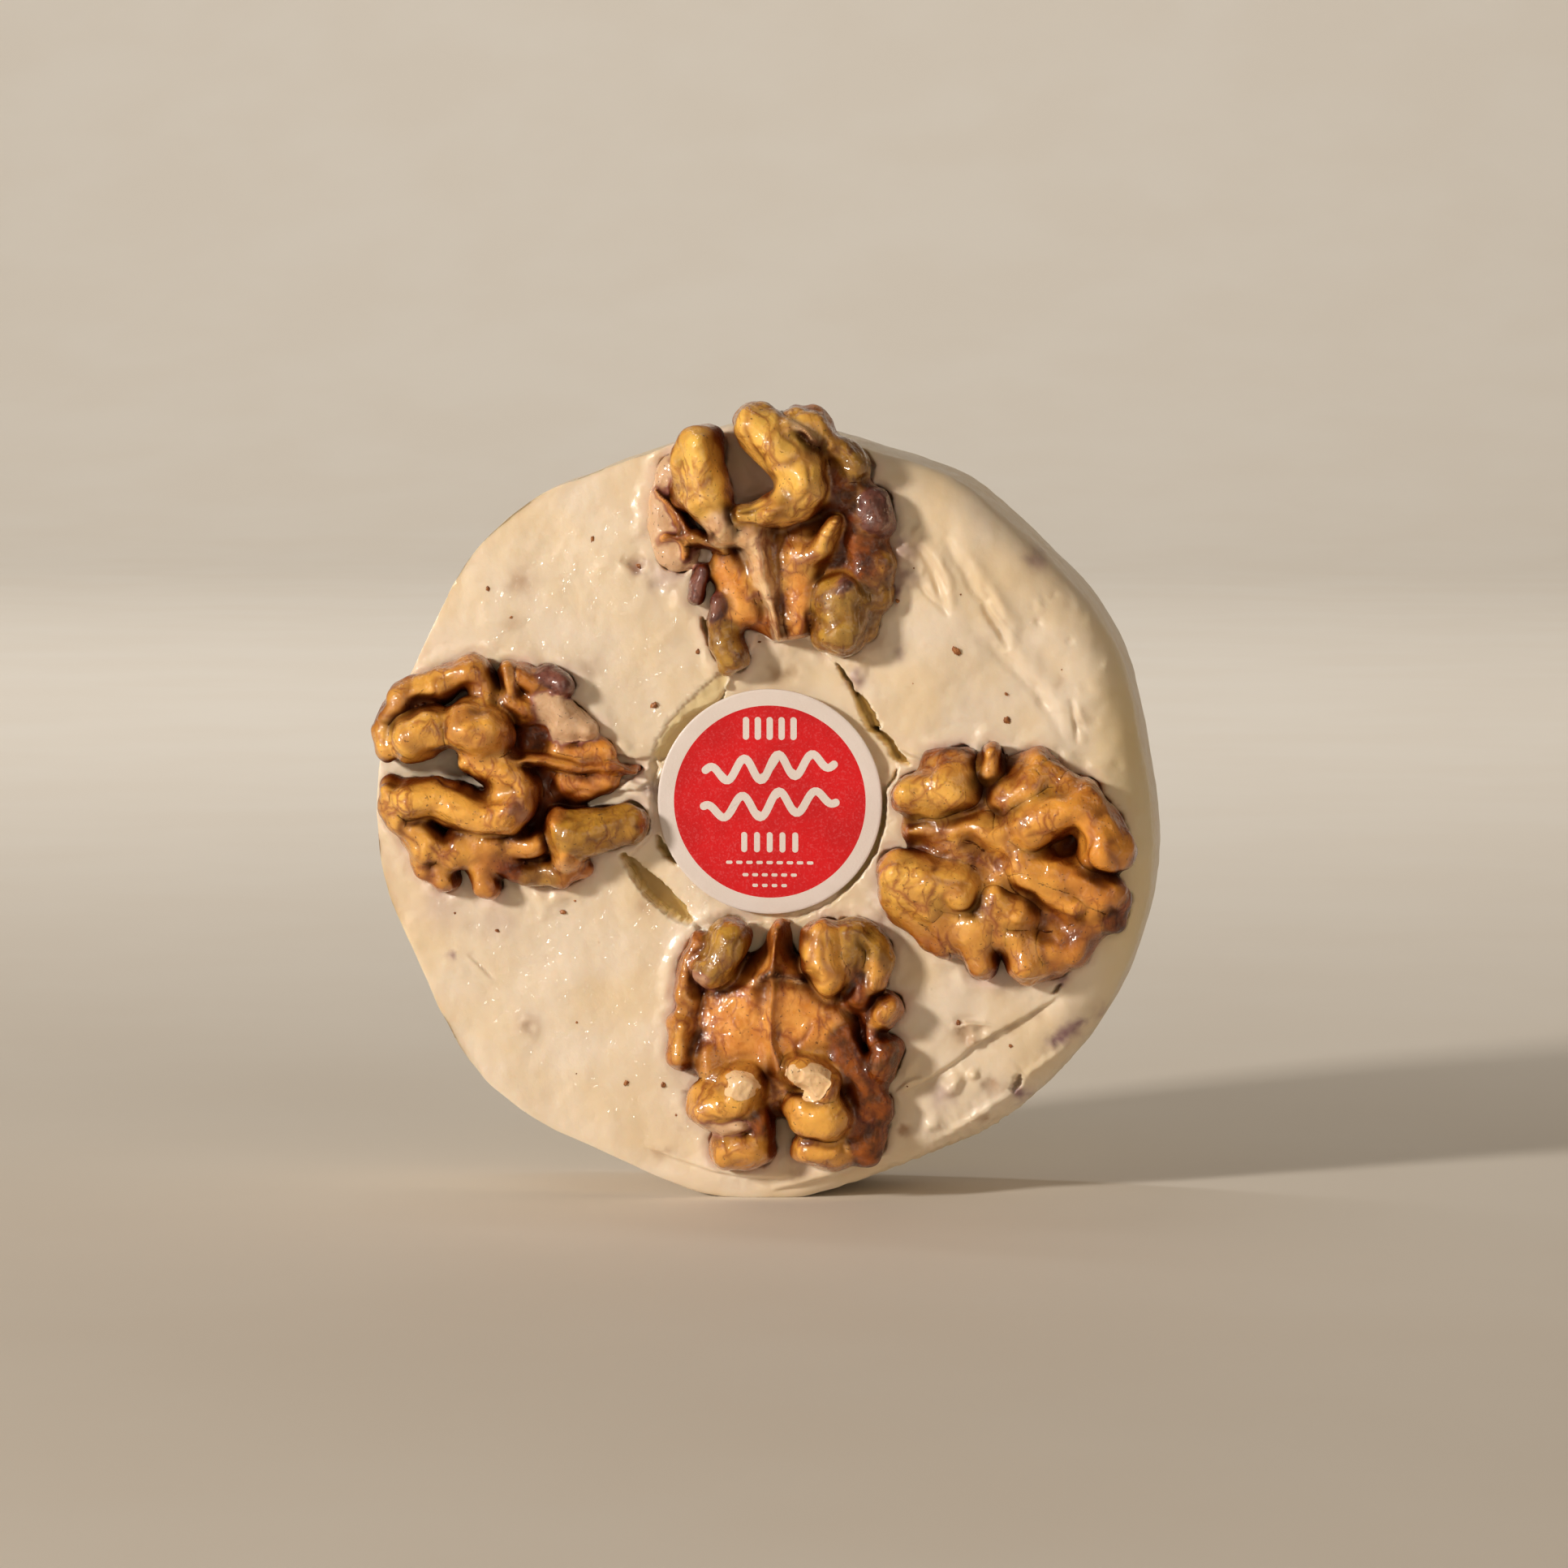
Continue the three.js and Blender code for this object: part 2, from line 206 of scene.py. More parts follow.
# Walnut halves: what each is made of, measured from its own middle. A fold is (half its width, how far it
# stands out, its look, then the points of its middle line).
# A slice is a flat broken face: (right, up, radius, level).
halves = {
    "kernel_top": {
        "middle": (1.4, 30.8),
        "blend": 1.0,  # how widely its folds run into each other
        "golden": (0.95, 0.8),  # how yellow its skin is at its left and right, against brown, partly as painted light
        "folds": [
            (6.8, 2.7, "skin", (0.2, -3.0)),
            (4.4, 2.6, "skin", (3.4, 0.8)),
            (5.6, 2.5, "skin", (1.0, -5.4)),
            (2.7, 7.6, "skin", (-7.9, 10.6), (-7.6, 8.0), (-6.9, 5.0)),
            (2.0, 6.4, "pale", (-6.8, 4.4), (-5.2, 1.9)),
            (1.7, 5.2, "skin", (-9.4, 9.4), (-9.6, 5.4)),
            (2.7, 8.0, "skin", (-1.6, 13.0), (0.6, 11.6)),
            (3.2, 8.6, "skin", (1.0, 10.9), (3.0, 8.8), (3.9, 6.4)),
            (2.1, 8.1, "skin", (3.2, 4.7), (0.6, 3.6)),
            (1.3, 7.0, "skin", (-0.8, 3.6), (-3.0, 3.0)),
            (1.5, 5.4, "skin", (2.8, 13.9), (5.2, 13.5), (6.6, 10.8)),
            (0.9, 7.0, "pale", (2.6, 12.9), (4.2, 12.6), (5.1, 11.6)),
            (2.0, 4.6, "olive", (8.4, 9.9), (9.6, 8.6)),
            (2.8, 3.6, "dark", (7.4, 7.4), (8.0, 4.6)),
            (2.1, 4.6, "plum", (11.4, 4.3), (11.8, 2.6)),
            ((1.1, 1.8), (6.2, 3.6), "skin", (7.6, 2.2), (6.6, 0.6), (4.4, -2.4)),
            (2.3, 1.3, "film", (-10.9, 7.6), (-11.7, 3.2)),
            (2.5, 1.3, "film", (-11.6, 1.6), (-10.8, -1.2)),
            ((0.3, 0.8), (2.4, 3.2), "sheet", (-12.8, 5.8), (-10.8, 3.2), (-9.2, 0.6)),
            (0.5, 2.6, "sheet", (-12.2, 0.6), (-9.4, 0.2)),
            (0.45, 2.4, "sheet", (-10.4, 2.6), (-9.8, -1.8)),
            ((0.7, 1.6), (4.2, 5.2), "pale", (-6.0, 0.4), (-4.0, 0.9), (-2.2, 0.8)),
            ((1.7, 0.6), (5.4, 3.4), "pale", (-1.9, 2.0), (-1.2, -1.6), (0.0, -5.4), (0.9, -10.4)),
            (0.7, 3.4, "skin", (-5.0, -0.8), (-8.4, 0.4)),
            (2.3, 3.1, "sheet", (-4.8, -2.8), (-3.4, -7.4)),
            (2.2, 3.1, "sheet", (3.6, -1.6), (3.2, -8.4)),
            (0.9, 2.9, "plum", (-7.9, -3.2), (-8.7, -6.2)),
            (1.2, 4.0, "plum", (-5.9, -6.8), (-5.7, -8.0)),
            (2.0, 3.4, "olive", (-5.5, -9.2), (-4.9, -11.8), (-4.5, -13.0)),
            (3.1, 5.3, "olive", (8.1, -6.4), (7.9, -10.0)),
            (1.2, 5.6, "plum", (8.6, -4.8), (7.9, -5.4)),
            (1.8, 2.8, "olive", (12.2, -2.4), (11.9, -6.2)),
            (1.4, 2.2, "olive", (11.0, -6.6), (10.6, -10.0)),
            (2.6, 3.2, "dark", (10.4, 0.8), (10.8, -3.0)),
            (2.4, 2.4, "dark", (7.0, 0.6), (7.6, -3.2)),
            (2.2, 3.6, "dark", (9.4, 5.6), (9.8, 2.8)),
        ],
        "slices": [],
    },
    "kernel_left": {
        "middle": (-27.9, 3.9),
        "blend": 0.95,
        "golden": (0.65, 0.2),
        "folds": [
            (5.6, 1.2, "dark", (2.6, 3.4)),
            (5.0, 0.9, "dark", (3.2, -3.8)),
            (2.9, 7.9, "skin", (-11.2, 4.6), (-9.3, 5.6)),
            (3.4, 8.6, "skin", (-4.5, 5.9), (-3.2, 5.2)),
            (2.6, 5.6, "skin", (-2.6, 2.4), (-1.0, 0.4), (-0.4, -2.0)),
            (1.7, 4.6, "skin", (-14.6, 5.6), (-14.4, 3.4)),
            (1.6, 4.6, "skin", (-14.2, 7.2), (-12.6, 8.6)),
            (1.9, 5.0, "skin", (-12.4, 9.2), (-8.8, 10.4)),
            (1.8, 4.7, "skin", (-7.8, 10.9), (-5.6, 12.0), (-4.5, 12.3)),
            (1.8, 4.3, "skin", (-4.2, 11.8), (-2.9, 9.4)),
            (1.1, 4.0, "skin", (-0.6, 12.3), (-0.1, 10.2)),
            (1.4, 3.7, "skin", (1.0, 11.8), (2.8, 10.4)),
            (1.8, 4.2, "skin", (-0.4, 8.6), (1.2, 8.0)),
            (1.6, 3.6, "plum", (3.8, 11.4), (5.3, 10.6)),
            ((2.0, 1.3), (3.6, 3.0), "film", (3.4, 8.4), (6.0, 7.2), (8.4, 5.6)),
            (1.1, 3.2, "film", (5.2, 5.9), (6.6, 5.4)),
            (2.0, 2.2, "sheet", (5.4, 3.6), (9.6, 2.8)),
            ((1.1, 0.5), (5.2, 2.1), "skin", (-2.8, 1.8), (1.7, 2.4), (6.4, 1.7), (10.4, 1.35), (14.0, 1.1)),
            (1.9, 6.0, "skin", (-4.4, 1.9), (-1.5, 1.5), (0.8, -0.6), (1.2, -2.4)),
            (2.4, 6.8, "skin", (-11.3, -2.3), (-8.9, -2.1)),
            (2.5, 7.2, "skin", (-6.4, -2.9), (-3.0, -4.0), (-0.6, -3.8)),
            (1.6, 6.9, "film", (0.2, -3.4)),
            (1.6, 4.9, "skin", (-14.1, -1.4), (-13.9, -3.0), (-13.1, -4.8)),
            (2.4, 5.0, "skin", (-11.0, -6.2), (-9.8, -7.4)),
            (1.7, 4.2, "skin", (-7.6, -8.2), (-7.0, -9.0)),
            (1.6, 3.5, "skin", (-8.2, -10.6), (-8.0, -11.6)),
            (1.4, 3.2, "skin", (-10.6, -9.6), (-10.2, -10.6)),
            (2.4, 4.4, "skin", (-5.6, -7.6), (-2.6, -8.0)),
            (1.7, 3.7, "skin", (-3.6, -10.2), (-3.2, -12.2)),
            (1.6, 3.2, "dark", (-1.3, -9.6), (0.2, -10.4)),
            (1.9, 4.2, "skin", (0.6, -7.6), (2.6, -7.4)),
            (1.7, 3.3, "olive", (2.0, -10.8), (4.4, -10.8)),
            (1.5, 2.8, "skin", (5.6, -11.0), (7.2, -10.0)),
            ((2.9, 2.5), (6.2, 4.4), "olive", (7.0, -6.2), (10.0, -5.6), (12.9, -5.0)),
            (1.8, 5.2, "skin", (5.3, -5.0), (6.2, -8.2)),
            (1.2, 4.8, "pale", (6.2, -9.0)),
            (1.9, 2.0, "sheet", (6.2, -0.9), (10.0, 0.1)),
        ],
        "slices": [],
    },
    "kernel_right": {
        "middle": (27.3, -4.9),
        "blend": 1.5,
        "golden": (0.8, 0.1),
        "folds": [
            (6.2, 3.3, "skin", (-4.6, 3.6)),
            (7.4, 3.3, "skin", (0.6, -1.0)),
            (5.6, 3.0, "skin", (-3.6, -5.6)),
            (5.2, 2.6, "skin", (6.6, -6.0)),
            (4.6, 2.4, "skin", (3.0, 7.6)),
            (2.4, 5.6, "skin", (-9.9, 7.3), (-7.2, 8.3), (-5.2, 9.2)),
            (1.6, 4.9, "skin", (-6.8, 6.7), (-4.0, 7.8)),
            (1.5, 2.4, "dark", (-7.6, 10.8), (-4.4, 11.4)),
            (1.4, 4.4, "skin", (-1.0, 12.0), (-1.2, 10.0)),
            (1.4, 3.7, "skin", (4.2, 11.4), (2.6, 9.8)),
            (2.3, 5.2, "skin", (1.2, 7.2), (3.6, 8.2)),
            (1.8, 4.2, "skin", (5.5, 9.6), (6.6, 8.2)),
            (2.7, 7.4, "skin", (3.6, 4.2), (6.4, 5.5), (9.2, 5.9), (11.3, 3.9), (11.9, 1.6)),
            (1.7, 5.9, "skin", (8.2, 8.0), (9.8, 7.8)),
            (1.2, 4.6, "skin", (13.4, 1.8), (13.3, 0.6)),
            (2.1, 5.6, "skin", (4.4, -0.7), (8.6, -1.8), (11.8, -3.4)),
            (1.7, 5.2, "skin", (3.2, -1.9), (6.1, -3.8), (8.4, -5.1)),
            (1.6, 3.8, "dark", (13.1, -4.6), (12.6, -6.6)),
            (2.6, 1.8, "dark", (7.8, 1.0), (10.8, 0.2)),
            (1.6, 4.2, "skin", (10.6, -5.4), (9.8, -7.2)),
            ((0.6, 1.6), (3.4, 4.8), "skin", (-10.2, 3.3), (-5.5, 3.6), (-1.7, 3.7)),
            ((1.5, 2.2), (4.8, 5.2), "skin", (-1.7, 3.6), (0.6, 1.8), (3.6, -0.4)),
            (1.8, 5.0, "skin", (0.4, 3.2), (3.4, 4.2)),
            (1.2, 3.0, "dark", (-4.7, 1.4), (0.4, -1.8), (2.8, -4.2)),
            (2.7, 6.3, "skin", (-11.4, -1.4), (-8.2, -2.4), (-4.6, -3.0)),
            (2.0, 5.2, "skin", (-11.6, -3.8), (-8.2, -5.2)),
            (1.5, 3.4, "skin", (-11.0, -6.0), (-8.6, -8.0), (-6.8, -9.4)),
            (2.2, 4.3, "skin", (-6.0, -7.0), (-4.4, -8.2)),
            (1.9, 4.3, "skin", (-3.2, -7.2), (-1.9, -11.8)),
            (1.5, 4.6, "skin", (-0.6, -4.8), (-2.4, -8.4)),
            (2.0, 5.3, "skin", (-0.2, -5.2), (2.4, -6.0)),
            (1.6, 4.3, "skin", (0.0, -6.4), (0.2, -8.6)),
            (2.0, 4.7, "skin", (2.3, -8.8), (2.9, -11.6)),
            (1.6, 3.4, "skin", (3.8, -12.2), (6.2, -11.9)),
            (1.9, 3.9, "skin", (5.2, -9.8), (8.0, -9.6)),
            (1.5, 3.4, "skin", (9.2, -8.4), (8.6, -10.4)),
        ],
        "slices": [],
    },
    "kernel_bottom": {
        "middle": (3.0, -25.9),
        "blend": 0.9,
        "golden": (0.6, 0.5),
        "folds": [
            (9.4, 3.5, "sheet", (-1.6, 0.5), (-1.3, 1.1)),
            ((4.6, 0.6), (3.6, 2.8), "sheet", (-1.0, 5.2), (-0.8, 9.0), (-0.5, 13.2)),
            (2.4, 6.2, "olive", (-6.2, 12.0), (-7.0, 9.8), (-7.7, 8.6)),
            (1.5, 5.6, "film", (-8.4, 8.0)),
            (2.5, 6.4, "skin", (4.4, 11.8), (4.5, 9.8), (5.2, 8.2)),
            (2.0, 4.9, "olive", (7.2, 12.4), (7.6, 10.2)),
            (1.9, 4.2, "dark", (8.2, 8.4), (8.4, 5.4)),
            (1.5, 4.4, "olive", (8.4, 13.0), (10.2, 11.4), (10.8, 9.2)),
            (1.4, 4.7, "skin", (10.3, 9.0), (10.2, 7.0)),
            (1.7, 4.8, "skin", (11.8, 4.3), (11.2, 3.4)),
            (1.2, 3.4, "dark", (9.6, 3.0), (10.3, 0.8)),
            (1.8, 4.3, "dark", (11.7, -0.6), (11.2, -2.6)),
            (2.6, 3.5, "dark", (8.6, -3.4), (9.4, -8.0), (8.6, -11.4)),
            (0.9, 2.8, "dark", (11.5, -6.4), (11.4, -8.0)),
            (1.5, 3.2, "skin", (-9.6, 11.2), (-11.0, 8.4), (-11.3, 5.2)),
            (1.6, 4.1, "skin", (-11.6, 1.8), (-11.7, -1.8)),
            (1.2, 2.8, "skin", (-11.0, 4.4), (-12.0, 2.6)),
            (
                (0.5, 0.9), (3.8, 4.6), "sheet",
                (-0.4, 13.2), (-1.0, 10.6), (-1.3, 6.6), (-1.3, 0.6), (-0.8, -2.8),
            ),
            (0.3, 3.9, "pale", (-2.4, 7.5), (-0.4, 7.9), (2.0, 7.4)),
            (2.9, 6.6, "skin", (-8.2, -6.8), (-6.0, -6.2), (-4.9, -5.2)),
            (2.1, 7.0, "skin", (-5.0, -4.6), (-4.4, -4.2)),
            (1.0, 5.6, "film", (-8.4, -8.4), (-6.4, -9.3), (-4.8, -9.3)),
            (2.5, 5.0, "skin", (-6.4, -11.8), (-3.4, -12.0)),
            (1.8, 4.6, "dark", (-3.2, -8.4), (-2.8, -10.0)),
            (2.2, 7.2, "skin", (1.8, -3.0), (3.6, -3.4), (4.8, -4.4)),
            (2.8, 6.7, "skin", (2.8, -7.6), (5.2, -8.0)),
            (2.3, 4.7, "skin", (2.9, -11.9), (5.6, -12.1)),
            (2.2, 3.8, "skin", (-8.6, -1.4), (-7.4, -3.6)),
            (2.4, 3.4, "dark", (6.4, 0.6), (7.2, -3.2)),
        ],
        "slices": [(-4.5, -4.2, 1.75, 6.6), (3.5, -3.8, 2.1, 6.7), (1.4, -2.9, 1.0, 6.6)],
    },
}
foldRoot = 1.6  # how deep a fold reaches under the face
walnutBuild = {
    "voxel": 0.19,
    "passes": 4,  # how often the skin is smoothed and drawn back to its folds
    "smoothing": 0.6,
    "pull": 0.8,  # the furthest that one pass moves the skin
    "lookSpread": 0.4,  # how widely the looks of two folds run into each other
    "sliceTilt": (-0.2, 0.14),  # how much a slice rises to the right and upwards
    "belly": (10.5, -1.0, 5.6),  # radius, top and root of the back that is sunk in the paste
    "warp": (4.4, 0.5),  # size and reach of the bends that make the folds uneven
    "lumps": (2.5, 0.3),  # size and height
    "wrinkles": [(4.6, 0.12, 0.16)],  # size, depth, sharpness
    "seed": 21,
}


def alongFold(value, share):  # a width or height that may change from one end of a fold to the other
    start, end = value if isinstance(value, tuple) else (value, value)
    return start + (end - start) * share


# Faces of a closed tube: the places of its rings come first, then the place at each end
def tubeFaces(count, around):
    faces = []
    for ring in range(count - 1):
        for k in range(around):
            a, b = ring * around + k, ring * around + (k + 1) % around
            faces.append((a, b, b + around, a + around))
    first, last, tail = count * around, count * around + 1, (count - 1) * around
    for k in range(around):
        faces.append(((k + 1) % around, k, first))
        faces.append((tail + k, tail + (k + 1) % around, last))
    return faces


# One fold as a closed shell: rings along its line, with a round cap at both ends
def foldShell(halfWidth, top, line, around=24, capRings=7):
    ahead = np.gradient(line, axis=0)
    ahead /= np.hypot(ahead[:, 0], ahead[:, 1])[:, None]
    tilts = np.linspace(0, math.pi / 2, capRings, endpoint=False)[1:]
    rings = [(0, -math.sin(tilt), math.cos(tilt)) for tilt in reversed(tilts)]
    rings += [(k, 0, 1) for k in range(len(line))]
    rings += [(len(line) - 1, math.sin(tilt), math.cos(tilt)) for tilt in tilts]
    turn = np.linspace(0, 2 * math.pi, around, endpoint=False)
    places, ends = [], []
    for k, beyond, share in [(0, -1, 0), *rings, (len(line) - 1, 1, 0)]:
        width, tall = alongFold(halfWidth, k / (len(line) - 1)), alongFold(top, k / (len(line) - 1))
        middle, height = (tall - foldRoot) / 2, (tall + foldRoot) / 2
        x, y = line[k] + ahead[k] * width * beyond
        across = width * share * np.cos(turn)
        if share:
            rise = middle + height * share * np.sin(turn)
            places.append(np.column_stack([x + ahead[k, 1] * across, y - ahead[k, 0] * across, rise]))
        else:
            ends.append((x, y, middle))
    return np.vstack([*places, ends]), tubeFaces(len(rings), around)


def bellyShell(around=40, rows=12):
    radius, top, root = walnutBuild["belly"]
    tilts = np.linspace(-math.pi / 2, math.pi / 2, rows + 1)[1:-1]
    turn = np.linspace(0, 2 * math.pi, around, endpoint=False)
    middle, height = (top - root) / 2, (top + root) / 2
    places = []
    for tilt in tilts:
        wide = radius * math.cos(tilt) ** 0.6
        level = np.full(around, middle + height * math.sin(tilt))
        places.append(np.column_stack([wide * np.cos(turn), wide * np.sin(turn), level]))
    return np.vstack([*places, [(0, 0, -root), (0, 0, top)]]), tubeFaces(len(tilts), around)


def neighbourMean(mesh):  # a function that averages a value over each vertex's neighbours
    ends = np.empty(len(mesh.edges) * 2, dtype=np.int32)
    mesh.edges.foreach_get("vertices", ends)
    one, two = ends.reshape(-1, 2).T
    count = np.bincount(one, minlength=len(mesh.vertices)) + np.bincount(two, minlength=len(mesh.vertices))

    def mean(values):
        columns, size = values.reshape(len(values), -1), len(values)
        total = [np.bincount(one, part[two], size) + np.bincount(two, part[one], size) for part in columns.T]
        return (np.column_stack(total) / count[:, None]).reshape(values.shape)

    return mean


def normalsOf(mesh):
    normals = np.empty(len(mesh.vertices) * 3)
    mesh.vertices.foreach_get("normal", normals)
    return normals.reshape(-1, 3)


# The dark look: folds painted dark, mostly as painted shade where a nut lies in shadow, partly as darker skin
looks = ("olive", "pale", "plum", "film", "dark", "sheet")


# For each fold: which places it can reach, how far they are from its skin, and its look
def foldGaps(places, folds):
    for halfWidth, top, look, *points in folds:
        line = curveThrough(points, 3)
        near = closeTo(places[:, :2], line, np.max(halfWidth) + 3)
        across, along, side = fromLine(places[near, :2], line)
        width, tall = alongFold(halfWidth, along), alongFold(top, along)
        height, rise = (tall + foldRoot) / 2, places[near, 2] - (tall - foldRoot) / 2
        share = np.hypot(across / width, rise / height)
        slope = np.hypot(across / width**2, rise / height**2)
        yield near, share * (share - 1) / np.maximum(slope, 1e-6), look


# Distance to the skin of all the folds, run together softly: negative inside
def skinDistance(places, folds, reach):
    radius, top, root = walnutBuild["belly"]
    middle, height = (top - root) / 2, (top + root) / 2
    share = np.hypot(np.hypot(places[:, 0], places[:, 1]) / radius, (places[:, 2] - middle) / height)
    field = (share - 1) * height
    for near, gap, look in foldGaps(places, folds):
        before = field[near]
        shared = np.maximum(reach - np.abs(before - gap), 0) / reach
        field[near] = np.minimum(before, gap) - shared**2 * reach / 4
    return field


def looksAt(places, folds):  # how much of each look shows at each place: the nearest folds decide
    shares = {name: np.full(len(places), 1e-9) for name in looks}
    everything = np.full(len(places), 1e-9)
    for near, gap, look in foldGaps(places, folds):
        weight = np.exp(-np.maximum(gap, -1) / walnutBuild["lookSpread"])
        everything[near] += weight
        if look in shares:
            shares[look][near] += weight
    return {name: share / everything for name, share in shares.items()}


def warped(places, seed):
    size, reach = walnutBuild["warp"]
    return places + reach * np.column_stack([noise(places, size, seed + k, 2) for k in (11, 12, 13)])


def buildHalf(name, half):
    folds, seed = half["folds"], walnutBuild["seed"] + len(half["folds"])
    shells = [foldShell(w, top, curveThrough(points)) for w, top, look, *points in folds]
    shells.append(bellyShell())
    places, faces, start = [], [], 0
    for shellPlaces, shellFaces in shells:
        places.append(shellPlaces)
        faces += [tuple(start + k for k in face) for face in shellFaces]
        start += len(shellPlaces)
    mesh = bpy.data.meshes.new(name)
    mesh.from_pydata(np.vstack(places).tolist(), [], faces)
    piece = addObject(name, mesh)
    skin = piece.modifiers.new("skin", "REMESH")
    skin.mode = "VOXEL"
    skin.voxel_size = walnutBuild["voxel"] * 1
    mesh = baked(piece, name)

    mean = neighbourMean(mesh)
    places = placesOf(mesh)
    smoothing, pull = walnutBuild["smoothing"], walnutBuild["pull"]
    for _ in range(walnutBuild["passes"]):
        places = (1 - smoothing) * places + smoothing * mean(places)
        setPlaces(mesh, places)
        gap = np.clip(skinDistance(warped(places, seed), folds, half["blend"]), -pull, pull)
        places = places - normalsOf(mesh) * gap[:, None]
    setPlaces(mesh, 0.5 * places + 0.5 * mean(places))
    places = placesOf(mesh)
    lumpSize, lumpHeight = walnutBuild["lumps"]
    flat = smooth(0.3, 0.8, looksAt(places, folds)["sheet"])
    lift = lumpHeight * noise(places, lumpSize, seed) * (1 - 0.6 * flat)
    lines = np.zeros(len(places))
    for size, depth, sharpness in walnutBuild["wrinkles"]:
        crossing = noise(places * (1, 1, 0.7), size, seed + 5, 2)
        present = smooth(-0.25, 0.3, noise(places, size * 1.6, seed + 6, 2))
        line = np.exp(-((crossing / sharpness) ** 2)) * present
        lift -= depth * line
        lines = np.maximum(lines, line)
    places = places + normalsOf(mesh) * lift[:, None]
    setPlaces(mesh, places)
    cut = np.zeros(len(places))
    for x, y, radius, level in half["slices"]:
        far = np.hypot(places[:, 0] - x, places[:, 1] - y) + 0.5 * noise(places, 1.4, seed + 9, 2)
        rightTilt, upTilt = walnutBuild["sliceTilt"]
        plane = level + rightTilt * (places[:, 0] - x) + upTilt * (places[:, 1] - y)
        plane += 0.12 * noise(places, 1, seed + 10, 2)
        within = smooth(radius + 0.15, radius - 0.15, far) * (places[:, 2] > level - 1.6)
        places[:, 2] -= within * np.maximum(places[:, 2] - plane, 0)
        cut = np.maximum(cut, within)
    setPlaces(mesh, places)

    normals, bent = normalsOf(mesh), warped(places, seed)
    # How closed in the skin is, close by and further out: the masks of the painted shade in creases and
    # hollows
    for key, reach, low, high in (("crease", 0.7, 0.12, 0.8), ("shade", 2.6, 0.2, 0.95)):
        clear = skinDistance(bent + normals * reach, folds, half["blend"]) / reach
        giveValues(mesh, key, smooth(low, high, 1 - clear))
    # Painted shade: the skin is darker and more orange on flanks that turn away from the front
    giveValues(mesh, "flankShade", smooth(0.75, 0.05, normals[:, 2]))
    giveValues(mesh, "wrinkle", lines)
    # Yellower towards the left and on the top half: partly the skin's own tone, partly painted light from the
    # upper left
    giveValues(mesh, "golden", np.interp(places[:, 0], (-12, 12), half["golden"]))
    giveValues(mesh, "cut", cut)
    giveValues(mesh, "height", np.clip(places[:, 2] / 8, 0, 1))
    for look, share in looksAt(bent + 0.35 * noise(places, 1.1, seed + 31, 2)[:, None], folds).items():
        giveValues(mesh, look, share)
    setPlaces(mesh, toWorld(places + (*half["middle"], 0)))
    return mesh


halfMeshes = {name: buildHalf(name, half) for name, half in halves.items()}
print("walnut halves shaped:", {name: len(mesh.polygons) for name, mesh in halfMeshes.items()})


